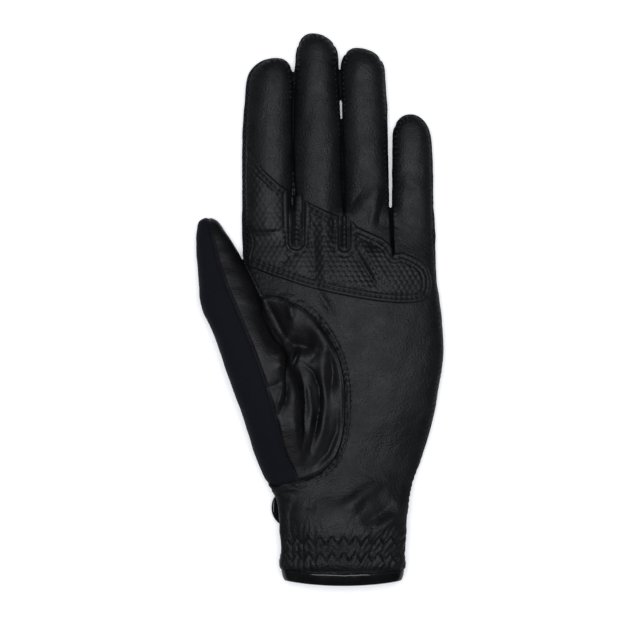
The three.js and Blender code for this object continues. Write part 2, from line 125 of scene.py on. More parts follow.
# Thumb sections: at, left, right, base, top
THUMB = np.array([
    (-0.03, -0.345, -0.22, 0.42, 0.85), (0.04, -0.407, -0.2, 0.32, 0.98),
    (0.095, -0.45, -0.19, 0.27, 1.11), (0.17, -0.483, -0.192, 0.27, 1.24),
    (0.26, -0.525, -0.207, 0.29, 1.34), (0.35, -0.568, -0.23, 0.29, 1.39),
    (0.44, -0.613, -0.267, 0.27, 1.39), (0.52, -0.646, -0.302, 0.24, 1.35),
    (0.585, -0.68, -0.348, 0.2, 1.28), (0.635, -0.715, -0.385, 0.18, 1.21),
    (0.68, -0.733, -0.41, 0.16, 1.16), (0.78, -0.744, -0.478, 0.12, 1.02),
    (0.88, -0.753, -0.55, 0.08, 0.86), (0.95, -0.751, -0.613, 0.08, 0.71),
    (0.99, -0.735, -0.655, 0.16, 0.55), (1, -0.72, -0.672, 0.24, 0.46),
])

# Seam between the thumb's fabric back and its leather front: x, y
THUMB_SEAM = np.array([
    (-20.4, 34.0), (-20.4, 46.0), (-25.5, 57.4), (-28.9, 71.1), (-33.2, 85.9), (-38.0, 99.6),
    (-42.5, 111.0), (-46.8, 121.2), (-50.8, 130.4), (-54.1, 139.5), (-56.4, 148.6),
    (-58.8, 160.0), (-59.5, 171.4),
])

# The oval seam of the thumb panel: half an oval, squarer below, open towards the thumb
OVAL_MIDDLE = (-35.3, 81.7)
OVAL_WIDTH = 35.6
OVAL_HEIGHTS = (37.5, 43.9)  # below and above its middle
OVAL_POWERS = (3.0, 2.0)

# The grip patch's outline, anticlockwise from its lower left corner: x, y
PATCH_LOWER = ((-47.5, 139.2), (-43.7, 138.6), (-38.0, 137.2), (-31.9, 134.7), (-25.0, 132.4),
               (-18.9, 130.3), (-12.0, 128.4), (-5.9, 126.9), (0.5, 125.6), (7.2, 124.3),
               (15.0, 123.1), (22.4, 122.4), (30.0, 122.4), (34.6, 123.3), (37.3, 125.6))
PATCH_RIGHT = ((38.4, 129.8), (38.2, 134.0), (36.6, 138.2), (33.6, 141.0),
               (30.0, 142.9), (25.6, 144.7), (22.4, 144.2))
PATCH_RING = ((20.3, 148.0), (17.2, 150.6), (11.5, 153.2), (6.6, 155.4), (3.4, 158.6), (2.9, 159.8))
PATCH_MIDDLE = ((-2.0, 160.6), (-3.7, 161.0), (-7.0, 162.4), (-10.2, 163.9), (-14.0, 165.8),
                (-17.0, 167.4))
PATCH_INDEX = ((-23.9, 171.8), (-27.5, 173.9), (-31.0, 177.0), (-35.4, 181.2),
               (-39.6, 186.8), (-43.7, 194.2), (-47.5, 201.5))

# The bound strips in the patch's two notches, below the index and the middle finger's slits
CROTCHES = (
    {"x": -20.4, "low": 145.8, "half": 3.2, "top": 167.5},
    {"x": 0.4, "low": 145.0, "half": 2.3, "top": 160.0},
)

# Slits between neighbouring fingers: path from the crotch upwards, half width, and the
# stretch where the slit goes right through
SLITS = (
    {"path": ((-20.9, 169.0), (-21.9, 190.0), (-22.0, 215.0), (-23.5, 245.0)),
     "half": 0.4, "open": (240, 242)},
    {"path": ((0.4, 161.5), (-0.2, 175.0), (-1.0, 205.0), (-2.0, 245.0)),
     "half": 0.42, "open": (205, 209)},
    {"path": ((21.4, 143.5), (20.6, 165.0), (20.4, 190.0), (21.0, 245.0)),
     "half": 0.7, "open": (166, 245)},
)

# Folds of the palm side: path, width, rise. A valley has a sharp bottom, a ridge a round top.
FOLDS = (
    # round the thumb's crotch
    (((-34.5, 124.7), (-30.6, 116.4), (-26.7, 109.1), (-22.8, 104.3)), 4.4, -3.0),
    (((-25.8, 106.5), (-21.5, 104.3), (-16.3, 103.4), (-11.5, 102.5)), 4.6, -3.6),
    (((-11.1, 102.1), (-13.2, 98.6), (-16.3, 96.5)), 1.7, -0.8),
    (((-24.1, 122.5), (-22.8, 118.6), (-22.4, 114.3)), 1.5, 1.0),
    (((-16.3, 114.3), (-11.1, 109.5), (-8.0, 104.3), (-8.0, 98.6)), 2.2, 1.2),
    (((-21.9, 99.5), (-19.3, 98.6)), 2.8, 1.8),
    # down the thumb panel
    (((-26.3, 103.8), (-25.8, 98.6), (-26.7, 92.1)), 2.6, 1.7),
    (((-24.1, 102.1), (-23.7, 95.6), (-23.7, 86.9), (-24.5, 80.4), (-27.6, 74.3)), 1.6, -2.4),
    (((-34.5, 85.2), (-29.3, 86.9), (-25.4, 89.5)), 1.8, -0.9),
    (((-25.4, 87.8), (-27.1, 82.1), (-28.9, 76.9)), 1.0, 0.7),
    (((-22.4, 94.3), (-20.6, 85.6), (-21.1, 71.7), (-18.9, 58.7)), 2.6, 1.0),
    (((-19.3, 95.2), (-16.7, 86.9), (-15.8, 79.5), (-16.3, 67.3), (-18.0, 59.5)), 1.5, -2.0),
    (((-18.0, 91.2), (-15.0, 84.7), (-13.7, 76.0), (-14.5, 63.0)), 1.0, 0.6),
    (((-18.5, 96.9), (-13.2, 92.5), (-10.6, 85.6), (-10.2, 78.2), (-11.9, 67.3), (-14.1, 58.7)), 1.8, -2.8),
    (((-9.3, 100.4), (-9.3, 89.1), (-8.5, 79.5), (-9.8, 67.3), (-13.2, 55.2)), 1.8, 1.3),
    (((-6.3, 103.0), (-4.6, 92.5), (-5.4, 82.1)), 2.8, -2.2),
    (((-2.4, 78.6), (-2.8, 67.3), (-6.7, 57.8), (-12.8, 51.3)), 3.4, -2.4),
    # across the patch and under it
    (((-8.0, 169.0), (-8.0, 160.8), (-8.5, 147.7), (-7.2, 125.6)), 2.4, 0.9),
    (((-13.7, 157.7), (-12.8, 145.6), (-12.4, 130.8)), 2.8, -1.1),
    (((-1.1, 161.2), (-4.1, 154.2), (-5.4, 147.3)), 2.0, -0.7),
    (((4.1, 146.4), (8.0, 140.3), (14.6, 129.0)), 2.4, -1.3),
    (((6.3, 154.2), (7.6, 147.3), (12.4, 138.6), (17.6, 132.5)), 2.4, 0.9),
    (((11.1, 149.9), (14.6, 145.6)), 1.8, -0.6),
    (((15.0, 149.9), (18.0, 144.7)), 1.6, -0.5),
    (((-23.2, 143.0), (-26.7, 139.5)), 1.8, -0.7),
    (((-11.9, 129.0), (-7.6, 122.5), (-3.7, 115.1)), 1.7, -0.9),
    # finger roots
    (((17.2, 174.2), (12.0, 168.2), (5.9, 161.2)), 2.2, 0.7),
    (((15.4, 169.9), (13.3, 162.1), (11.5, 154.2)), 1.7, 0.7),
    (((10.7, 175.1), (5.9, 169.0), (2.8, 163.8)), 2.0, -0.5),
    (((18.0, 168.2), (15.9, 161.2), (15.0, 153.4)), 1.8, -0.6),
    (((23.7, 176.8), (29.8, 174.2), (36.7, 171.6)), 2.4, 0.5),
    # wrist
    (((12.4, 23.5), (17.6, 26.5), (24.1, 31.3)), 1.8, 1.1),
    (((6.3, 26.5), (14.6, 30.4), (22.8, 36.9)), 4.6, -2.1),
    (((-3.2, 32.6), (3.7, 36.1), (10.7, 41.3), (17.6, 46.5)), 2.4, 1.1),
    (((2.8, 27.8), (5.9, 30.8), (9.8, 34.3)), 1.4, -0.5),
    (((-17.6, 34.8), (-11.1, 33.5)), 2.6, -0.6),
    (((-20.6, 36.9), (-22.8, 31.7), (-22.8, 23.9)), 1.6, -0.7),
    (((10.7, 5.6), (12.4, 16.1), (13.3, 23.9)), 5.0, -0.9),
    (((-20.6, 5.6), (-20.2, 17.4), (-21.1, 26.1)), 5.5, -1.2),
)


def oval_edge():
    """The oval's outline from its lower end round to its upper end."""
    turn = np.radians(np.arange(-90, 91, 2))
    power, height = np.where(turn < 0, *OVAL_POWERS), np.where(turn < 0, *OVAL_HEIGHTS)
    across = np.abs(np.cos(turn)) ** (2 / power)
    up = np.sign(turn) * np.abs(np.sin(turn)) ** (2 / power)
    return np.stack((OVAL_MIDDLE[0] + OVAL_WIDTH * across, OVAL_MIDDLE[1] + height * up), 1)


OVAL_PATH = oval_edge()
OVAL_PITCH = 2.3
OVAL_ROWS = (1.5, 3.0)

# Overcast stitches on the fingers' edges: finger, height above the hem, side
EDGE_STITCHES = (
    ("middle", 196.0, 1), ("middle", 226.0, -1), ("ring", 160.0, 1), ("ring", 206.0, -1),
    ("index", 212.0, 1), ("little", 188.0, -1),
)
EDGE_INSET = 1.7
EDGE_PITCH = 2.4

# Zigzag stitching on the wrist's elastic
ZIGZAG_HEIGHTS = (19.4, 12.4)
ZIGZAG_PERIOD = 5.1
ZIGZAG_RISE = 1.7
ZIGZAG_WIDTH = 49
DOTS_A_LEG = 3

# Beads of thread: half length, radius, and how far the ends dip into the leather
PATCH_BEAD = (0.74, 0.2, 0.14)
OVAL_BEAD = (0.65, 0.15, 0.12)
EDGE_BEAD = (0.85, 0.4, 0.15)
ZIGZAG_BEAD = (0.42, 0.2, 0.1)
SIDE_SEAM_BEAD = (1.0, 0.55, 0.1)
THUMB_SEAM_BEAD = (0.7, 0.28, 0.1)
OVERCAST_SLANT = 0.35
BEAD_FLATNESS = 0.8


# Curves and distances

def unit(rows):
    """Each row made 1 long."""
    return rows / np.maximum(np.linalg.norm(rows, axis=1, keepdims=True), 1e-9)


def lengths_along(points):
    """The length along a run of points up to each of them."""
    return np.concatenate(([0.0], np.cumsum(np.linalg.norm(np.diff(points, axis=0), axis=1))))


def read_along(values, at, s):
    """Rows of numbers that belong to lengths along a run, read at other lengths."""
    return np.stack([np.interp(s, at, column) for column in values.T], 1)


def signed_power(value, power):
    return np.sign(value) * np.abs(value) ** power


def smooth_curve(xs, ys, at):
    """A smooth curve through a few points, read at many places."""
    xs, ys = np.asarray(xs, float), np.asarray(ys, float)
    steps = np.diff(xs)
    slopes = np.diff(ys) / steps
    tangents = np.empty_like(ys)
    tangents[1:-1] = (slopes[:-1] * steps[1:] + slopes[1:] * steps[:-1]) / (steps[1:] + steps[:-1])
    tangents[0], tangents[-1] = slopes[0], slopes[-1]
    at = np.clip(at, xs[0], xs[-1])
    i = np.clip(np.searchsorted(xs, at) - 1, 0, len(xs) - 2)
    t = (at - xs[i]) / steps[i]
    a, b = ys[i], ys[i + 1]
    c, d = tangents[i] * steps[i], tangents[i + 1] * steps[i]
    return a + t * (c + t * (3 * (b - a) - 2 * c - d + t * (2 * (a - b) + c + d)))


def columns(table, at):
    """The columns of a table after its first, which says where its rows lie, read at places."""
    table = np.asarray(table)
    return [smooth_curve(table[:, 0], column, at) for column in table.T[1:]]


def smoothstep(x, low, high):
    t = np.clip((x - low) / (high - low), 0, 1)
    return t * t * (3 - 2 * t)


def smooth_min(a, b, k):
    h = np.clip(0.5 + 0.5 * (b - a) / k, 0, 1)
    return b + (a - b) * h - k * h * (1 - h)


def smooth_max(a, b, k):
    return -smooth_min(-a, -b, k)


def bell(x, width):
    return np.exp(-(x / width) ** 2)


def path_distance(x, y, path):
    """Distance in plan to a path, the length along it to the nearest place, and its length."""
    path = np.asarray(path, float)
    best = np.full(np.shape(x + y), 1e9)
    along = np.zeros(np.shape(x + y))
    done = 0.0
    for a, b in zip(path[:-1], path[1:]):
        length = math.hypot(*(b - a))
        ux, uy = (b - a) / length
        t = np.clip((x - a[0]) * ux + (y - a[1]) * uy, 0, length)
        d = np.hypot(x - a[0] - t * ux, y - a[1] - t * uy)
        nearer = d < best
        best = np.where(nearer, d, best)
        along = np.where(nearer, done + t, along)
        done += length
    return best, along, done


def within(x, y, outline):
    """True inside a closed outline."""
    inside = np.zeros(np.shape(x), bool)
    outline = np.asarray(outline, float)
    for a, b in zip(outline, np.roll(outline, -1, axis=0)):
        crosses = (a[1] > y) != (b[1] > y)
        rise = b[1] - a[1]
        at = a[0] + (b[0] - a[0]) * (y - a[1]) / (rise if rise else 1.0)
        inside ^= crosses & (x < at)
    return inside


def waves(x, y, z, length, seed, count=14):
    """Smooth random swells about 1 high at most, of about one length."""
    rng = np.random.default_rng(seed)
    total = np.zeros(np.shape(x))
    for _ in range(count):
        way = rng.normal(size=3)
        way *= 2 * math.pi / (np.linalg.norm(way) * length * rng.uniform(0.7, 1.5))
        total += np.sin(way[0] * x + way[1] * y + way[2] * z + rng.uniform(0, 6.28))
    return total / count ** 0.5 / 1.6


def section(x, z, left, right, base, top, roundness=(TOP_ROUNDNESS, TOP_ROUNDNESS)):
    """A rounded section's value, 1 on it, and the smaller of its halves.

    The roundness of its top is given for the left and the right half.
    """
    half, height = (right - left) / 2, (top - base) / 2
    u = np.abs(x - (left + right) / 2) / half
    v = (z - (top + base) / 2) / height
    top_power = np.where(x < (left + right) / 2, *roundness)
    power = np.where(v > 0, top_power, BASE_ROUNDNESS)
    return (u ** power + np.abs(v) ** power) ** (1 / power), np.minimum(half, height)


def hand_sides(y):
    left, right, wrist, full = columns(HAND, y / HAND_LENGTH)
    base = -PALM_SINK + (WRIST_LIFT + PALM_SINK) * wrist
    top = WRIST_LIFT * wrist + (PALM_THICKNESS + (WRIST_THICKNESS - PALM_THICKNESS) * wrist) * full
    return left * PALM_WIDTH, right * PALM_WIDTH, base, top


def hand_field(x, y, z):
    sloping = smoothstep(y, 25, 45) * (1 - smoothstep(y, 58, 80))
    full = smoothstep(y, 70, 90) * (1 - smoothstep(y, 135, 155))
    left = TOP_ROUNDNESS - 0.4 * smoothstep(y, 120, 140)
    right = TOP_ROUNDNESS - 0.6 * sloping + 0.35 * full
    value, scale = section(x, z, *hand_sides(y), (left, right))
    return (value - 1) * scale


def tip_height(name):
    """How far a finger's tip lies from the hem."""
    return HAND_LENGTH + FINGERS[name][0] * FINGER_LENGTH


def finger_sides(name, y):
    at = (y - HAND_LENGTH) / (tip_height(name) - HAND_LENGTH)
    left, right = columns(FINGERS[name][3], at)
    return left * PALM_WIDTH, right * PALM_WIDTH


def finger_middle(name, y):
    left, right = finger_sides(name, y)
    return (left + right) / 2


def tip_size(past):
    """A finger's width near its tip, as a share: past is 0 where the tip starts and 1 at its end."""
    return np.clip(1 - past ** TIP_ROUNDNESS, 0, 1) ** (1 / TIP_ROUNDNESS)


def finger_field(name):
    tip, tip_y = FINGERS[name][2], tip_height(name)
    thickness = FINGERS[name][1] * FINGER_THICKNESS
    roundness = FINGER_ROUNDNESS[name]
    level = (thickness - PALM_SINK) / 2

    def field(x, y, z):
        left, right = finger_sides(name, y)
        past = np.clip((y - (tip_y - TIP_LENGTH)) / TIP_LENGTH, 0, 3)
        size = tip_size(past)
        shift = (tip * PALM_WIDTH - (left + right) / 2) * (1 - size)
        fall = np.minimum(past, 1) ** 2
        height = thickness / 2 * (1 - 0.2 * fall) / np.maximum(size, 0.3) ** 0.6
        sides = left + shift, right + shift, level - height, level + height
        value, scale = section(x, z, *sides, roundness)
        value = (value ** TIP_ROUNDNESS + past ** TIP_ROUNDNESS) ** (1 / TIP_ROUNDNESS)
        return (value - 1) * scale
    return field


def thumb_sides(y):
    left, right, base, top = columns(THUMB, (y - THUMB_ROOT) / THUMB_RISE)
    return left * PALM_WIDTH, right * PALM_WIDTH, base * THUMB_THICKNESS, top * THUMB_THICKNESS


THUMB_ENDS = (THUMB_ROOT + THUMB[0, 0] * THUMB_RISE, THUMB_ROOT + THUMB_RISE)


def thumb_field(x, y, z):
    value, scale = section(x, z, *thumb_sides(y), THUMB_TOP_ROUNDNESS)
    ends = np.maximum(THUMB_ENDS[0] - y, y - THUMB_ENDS[1])
    return smooth_max((value - 1) * scale, ends, 2.5)


def slit_value(slit, x, y, z):
    """Above 0 in the slit between two fingers."""
    away = path_distance(x, y, slit["path"])[0]
    start, stop = slit["open"]
    opened = smoothstep(y, start - 3, start) * (1 - smoothstep(y, stop, stop + 3))
    floor = SLIT_FLOOR - 14 * opened
    return np.minimum(slit["half"] * np.clip((z - floor) / SLIT_FLARE, 0, 1) - away, z - floor)


SLIT_FLOOR = 4.5  # above the table, where a slit doesn't go through
SLIT_FLARE = 5.5  # a slit widens over this height
FAR = 9.0  # a distance that no joint feels
WEB = 9.0  # how far the palm runs on between the fingers
THUMB_CROTCH = 106.0  # hem to the crotch between thumb and palm


def join_parts(x, y, z, hand, fingers, thumb):
    """One distance from those of the hand, the fingers and the thumb."""
    hand = smooth_max(hand, y - HAND_LENGTH - WEB, 6.0)
    whole = None
    for d in fingers:
        d = smooth_max(d, HAND_LENGTH - 5 - y, 6.0)
        joined = smooth_min(hand, d, 4.0 - 3.0 * smoothstep(y, HAND_LENGTH - 8, HAND_LENGTH + 1))
        whole = joined if whole is None else np.minimum(whole, joined)
    for slit in SLITS:
        whole = smooth_max(whole, slit_value(slit, x, y, z), 0.5)
    blend = 0.5 + 6.5 * smoothstep(THUMB_CROTCH - y, 0, 22)
    return np.maximum(smooth_min(whole, thumb, blend), -z)


def true_distance(field, x, y, z, step=0.15):
    """A field turned into millimetres by its own slope."""
    sx = field(x + step, y, z) - field(x - step, y, z)
    sy = field(x, y + step, z) - field(x, y - step, z)
    sz = field(x, y, z + step) - field(x, y, z - step)
    slope = np.sqrt(sx * sx + sy * sy + sz * sz) / (2 * step)
    return field(x, y, z) / np.maximum(slope, 0.05)


def form_surface(low, high, step):
    """A fine surface round the glove, between two corners: its points and its quads."""
    low, step = np.array(low, float), np.array(step, float)
    counts = np.ceil((np.array(high) - low) / step).astype(int) + 1
    axes = [low[i] + step[i] * np.arange(counts[i]) for i in range(3)]

    def on_grid(field, corner, opposite):
        spans = [slice(*np.searchsorted(axes[i], (corner[i], opposite[i]))) for i in range(3)]
        out = np.full(tuple(counts), FAR)
        if any(s.stop - s.start < 3 for s in spans):
            return out
        x, y, z = np.meshgrid(*(axes[i][spans[i]] for i in range(3)), indexing="ij", sparse=True)
        raw = field(x, y, z) + np.zeros([s.stop - s.start for s in spans])
        slopes = np.gradient(raw, *step)
        slope = np.sqrt(sum(s * s for s in slopes))
        out[tuple(spans)] = np.clip(raw / np.maximum(slope, 0.05), -FAR, FAR)
        return out

    hand = on_grid(hand_field, (-60, -9, -9), (60, HAND_LENGTH + WEB + 14, 40))
    thumb = on_grid(thumb_field, (-80, THUMB_ENDS[0] - 7, -9), (-5, THUMB_ENDS[1] + 7, 40))
    fingers = []
    for name in FINGERS:
        tip_y = tip_height(name)
        left, right = finger_sides(name, np.array((HAND_LENGTH, tip_y)))
        corner, opposite = (left.min() - 7, HAND_LENGTH - 14, -9), (right.max() + 7, tip_y + 7, 40)
        fingers.append(on_grid(finger_field(name), corner, opposite))
    x, y, z = np.meshgrid(*axes, indexing="ij", sparse=True)
    joined = join_parts(x, y, z, hand, fingers, thumb)
    grid = openvdb.FloatGrid(FAR)
    grid.copyFromArray(joined.astype(np.float32))
    points, quads = grid.convertToQuads(isovalue=0.0)
    return low + points.astype(float) * step, quads.astype(np.int64)


# Meshes as arrays

def triangles_of(points, quads):
    a, b, c, d = (points[quads[:, i]] for i in range(4))
    first = ((a - c) ** 2).sum(1) <= ((b - d) ** 2).sum(1)
    left = np.where(first[:, None], quads[:, [0, 1, 2]], quads[:, [1, 2, 3]])
    right = np.where(first[:, None], quads[:, [0, 2, 3]], quads[:, [1, 3, 0]])
    return np.vstack((left, right))


def normals_of(points, tris):
    a, b, c = (points[tris[:, i]] for i in range(3))
    face = np.cross(b - a, c - a)
    out = np.zeros_like(points)
    for i in range(3):
        for axis in range(3):
            out[:, axis] += np.bincount(tris[:, i], face[:, axis], len(points))
    return unit(out)


def edges_of(tris):
    return np.vstack((tris[:, [0, 1]], tris[:, [1, 2]], tris[:, [2, 0]]))


def spread_over(tris, count):
    """A function that gives each vertex the mean of its neighbours' values."""
    edges = np.unique(np.sort(edges_of(tris), axis=1), axis=0)
    both = np.vstack((edges, edges[:, ::-1]))
    number = np.maximum(np.bincount(both[:, 0], minlength=count), 1)[:, None]

    def mean(values):
        out = np.empty_like(values)
        for axis in range(values.shape[1]):
            out[:, axis] = np.bincount(both[:, 0], values[both[:, 1], axis], count)
        return out / number
    return mean


def smoothed(values, tris, rounds=2):
    """Values smoothed a little: each step in is followed by a step out, which keeps the form."""
    mean = spread_over(tris, len(values))
    for step in (0.5, -0.52) * rounds:
        values = values + step * (mean(values) - values)
    return values


def compact(table, tris):
    used, index = np.unique(tris, return_inverse=True)
    return table[used], index.reshape(tris.shape)


def clip(table, tris, value, snap=0.07):
    """The part of a mesh where a value is at most 0. table holds a row of numbers a vertex."""
    value = np.where(np.abs(value) < snap, 0.0, value)
    inside = (value <= 0)[tris]
    count = inside.sum(1)
    kept = [tris[count == 3]]
    some = (count == 1) | (count == 2)
    mixed, sides = tris[some], inside[some]
    single = sides.sum(1) == 1
    odd = np.where(single, sides.argmax(1), (~sides).argmax(1))
    order = (odd[:, None] + np.arange(3)) % 3
    a, b, c = np.take_along_axis(mixed, order, 1).T
    pairs = np.sort(np.vstack((np.stack((a, b), 1), np.stack((a, c), 1))), axis=1)
    unique, index = np.unique(pairs, axis=0, return_inverse=True)
    index = index.reshape(-1)
    va, vb = value[unique[:, 0]], value[unique[:, 1]]
    t = np.where(va == vb, 0.0, va / np.where(va == vb, 1.0, va - vb))
    rows = table[unique[:, 0]] * (1 - t[:, None]) + table[unique[:, 1]] * t[:, None]
    ids = len(table) + np.arange(len(unique))
    ids = np.where(va == 0, unique[:, 0], np.where(vb == 0, unique[:, 1], ids))
    ab, ac = ids[index[:len(a)]], ids[index[len(a):]]
    s = single
    kept.append(np.stack((a[s], ab[s], ac[s]), 1))
    kept.append(np.stack((ab[~s], b[~s], c[~s]), 1))
    kept.append(np.stack((ab[~s], c[~s], ac[~s]), 1))
    tris = np.vstack(kept)
    whole = (tris[:, 0] != tris[:, 1]) & (tris[:, 1] != tris[:, 2]) & (tris[:, 2] != tris[:, 0])
    return compact(np.vstack((table, rows)), tris[whole])


def without_crumbs(table, tris, least=150):
    """The mesh without its bodies of only a few triangles."""
    group = np.arange(len(table))
    while True:
        low = group[tris].min(1)
        after = group.copy()
        for i in range(3):
            np.minimum.at(after, tris[:, i], low)
        after = after[after]
        if np.array_equal(after, group):
            break
        group = after
    names, counts = np.unique(group[tris[:, 0]], return_counts=True)
    return compact(table, tris[np.isin(group[tris[:, 0]], names[counts >= least])])


def border_edges(tris):
    """Edges with a triangle on one side only, in that triangle's direction."""
    edges = edges_of(tris)
    found = np.unique(np.sort(edges, axis=1), axis=0, return_inverse=True, return_counts=True)
    return edges[found[2][found[1].reshape(-1)] == 1]


def border_chains(tris, usable):
    """The border's edges joined into runs of vertices, where every vertex is usable."""
    edges = border_edges(tris)
    edges = edges[usable[edges].all(1)]
    after = {}
    for a, b in edges.tolist():
        after.setdefault(a, b)
    targets = set(after.values())
    starts = [a for a in after if a not in targets] + list(after)
    seen, chains = set(), []
    for start in starts:
        if start in seen:
            continue
        chain = [start]
        seen.add(start)
        while chain[-1] in after and after[chain[-1]] not in seen:
            chain.append(after[chain[-1]])
            seen.add(chain[-1])
        if after.get(chain[-1]) == start:
            chain.append(start)
        if len(chain) > 12:
            chains.append(np.array(chain))
    return chains


def thickened(outer, inner, tris):
    """A closed wall from an outer and an inner layer over the same triangles."""
    count = len(outer)
    edges = border_edges(tris)
    rim_a = np.stack((edges[:, 1], edges[:, 0], edges[:, 0] + count), 1)
    rim_b = np.stack((edges[:, 1], edges[:, 0] + count, edges[:, 1] + count), 1)
    faces = np.vstack((tris, tris[:, ::-1] + count, rim_a, rim_b))
    return np.vstack((outer, inner)), faces


def border_distance(points, tris):
    """How far each vertex lies from the mesh's border."""
    border = np.unique(border_edges(tris))
    tree = KDTree(len(border))
    for i in border.tolist():
        tree.insert(points[i], i)
    tree.balance()
    return np.array([tree.find(p)[2] for p in points])


def even_steps(points, pitch, normals):
    """Places along a run of points, a pitch apart: place, direction and normal."""
    keep = np.concatenate(([True], np.linalg.norm(np.diff(points, axis=0), axis=1) > 1e-6))
    points, normals = points[keep], normals[keep]
    at = lengths_along(points)
    number = max(int(at[-1] / pitch), 1)
    wanted = (np.arange(number) + 0.5) * at[-1] / number
    ahead = read_along(points, at, np.minimum(wanted + pitch / 2, at[-1]))
    behind = read_along(points, at, np.maximum(wanted - pitch / 2, 0))
    return read_along(points, at, wanted), unit(ahead - behind), unit(read_along(normals, at, wanted))


# Blender meshes and materials

PIECE_LIMIT = 185000  # triangles in one piece


def show(name, data):
    made = bpy.data.objects.new(name, data)
    bpy.context.scene.collection.objects.link(made)
    return made


def make_object(name, points, faces, material, sharp=45):
    mesh = bpy.data.meshes.new(name)
    placed = ((points + ORIGIN) * MM).astype(np.float32)
    faces = np.asarray(faces)
    mesh.vertices.add(len(placed))
    mesh.vertices.foreach_set("co", placed.ravel())
    mesh.loops.add(faces.size)
    mesh.loops.foreach_set("vertex_index", faces.ravel().astype(np.int32))
    mesh.polygons.add(len(faces))
    size = faces.shape[1]
    mesh.polygons.foreach_set("loop_start", np.arange(0, faces.size, size, dtype=np.int32))
    mesh.polygons.foreach_set("loop_total", np.full(len(faces), size, np.int32))
    mesh.update(calc_edges=True)
    mesh.validate()
    mesh.polygons.foreach_set("use_smooth", np.ones(len(mesh.polygons), bool))
    mesh.set_sharp_from_angle(angle=math.radians(sharp))
    mesh.materials.append(material)
    made = show(name, mesh)
    if len(faces) > PIECE_LIMIT:
        made.modifiers.new("fewer", "DECIMATE").ratio = PIECE_LIMIT / len(faces)
    return made


def add_piece(name, points, faces, material, slot, replaces=(), sharp=45):
    piece = make_object(name, points, faces, material, sharp)
    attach(piece, "root")
    if replaces:
        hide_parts(*replaces)


def new_material(name, color, roughness, specular):
    material = bpy.data.materials.new(name)
    material.use_nodes = True
    nodes, links = material.node_tree.nodes, material.node_tree.links
    shader = nodes["Principled BSDF"]
    shader.inputs["Base Color"].default_value = (*color, 1)
    shader.inputs["Roughness"].default_value = roughness
    shader.inputs["Specular IOR Level"].default_value = specular
    return material, nodes, links, shader


def node(nodes, kind, **values):
    made = nodes.new(kind)
    for key, value in values.items():
        if key in made.inputs:
            made.inputs[key].default_value = value
        else:
            setattr(made, key, value)
    return made


def texture(nodes, links, place, kind, **values):
    made = node(nodes, kind, **values)
    links.new(place, made.inputs["Vector"])
    return made


def ramp(nodes, links, source, target, stops):
    """A colour ramp from a source to a socket, with two stops, each a place and a colour."""
    made = nodes.new("ShaderNodeValToRGB")
    for element, (at, color) in zip(made.color_ramp.elements, stops):
        element.position = at
        element.color = (*color, 1)
    links.new(source, made.inputs["Fac"])
    links.new(made.outputs["Color"], target)


def span(nodes, links, source, target, seen, made_into):
    """A range of a source's values turned into another range, for a socket."""
    made = nodes.new("ShaderNodeMapRange")
    for name, value in zip(("From Min", "From Max", "To Min", "To Max"), (*seen, *made_into)):
        made.inputs[name].default_value = value
    links.new(source, made.inputs["Value"])
    links.new(made.outputs["Result"], target)


def bump(nodes, links, shader, layers):
    """Bump layers, each a source, a strength and a depth in millimetres."""
    last = None
    for source, strength, depth in layers:
        made = node(nodes, "ShaderNodeBump", Strength=strength, Distance=depth * MM)
        links.new(source, made.inputs["Height"])
        if last is not None:
            links.new(last, made.inputs["Normal"])
        last = made.outputs["Normal"]
    links.new(last, shader.inputs["Normal"])


def scale_of(size):
    """A texture's scale for features of a size in millimetres."""
    return 1000 / size


def wave_scale(pitch):
    """A wave texture's scale for ribs a pitch apart, in millimetres."""
    return scale_of(pitch) / 6.283


BLOTCH = 9.0


def leather_material(name, dark, light, roughness, specular, grain=0.75, depth=0.12):
    """Fine-grained leather: small raised cells, pores, soft blotches of colour and gloss."""
    material, nodes, links, shader = new_material(name, light, sum(roughness) / 2, specular)
    place = nodes.new("ShaderNodeTexCoord").outputs["Object"]
    blotches = texture(nodes, links, place, "ShaderNodeTexNoise", Scale=scale_of(BLOTCH), Detail=4.0,
                       Roughness=0.6)
    cells = texture(nodes, links, place, "ShaderNodeTexVoronoi", Scale=scale_of(grain),
                    feature="SMOOTH_F1", Smoothness=0.4)
    fine = texture(nodes, links, place, "ShaderNodeTexNoise", Scale=scale_of(1.7 * grain), Detail=3.0,
                   Roughness=0.7)
    ramp(nodes, links, blotches.outputs["Fac"], shader.inputs["Base Color"], ((0.32, dark), (0.7, light)))
    span(nodes, links, blotches.outputs["Fac"], shader.inputs["Roughness"], (0.3, 0.7), roughness)
    bump(nodes, links, shader, (
        (cells.outputs["Distance"], 0.8, -depth),
        (fine.outputs["Fac"], 0.9, 1.6 * depth),
    ))
    return material


RIB_PITCH = 0.55
RIB_ANGLES = (52, -52)


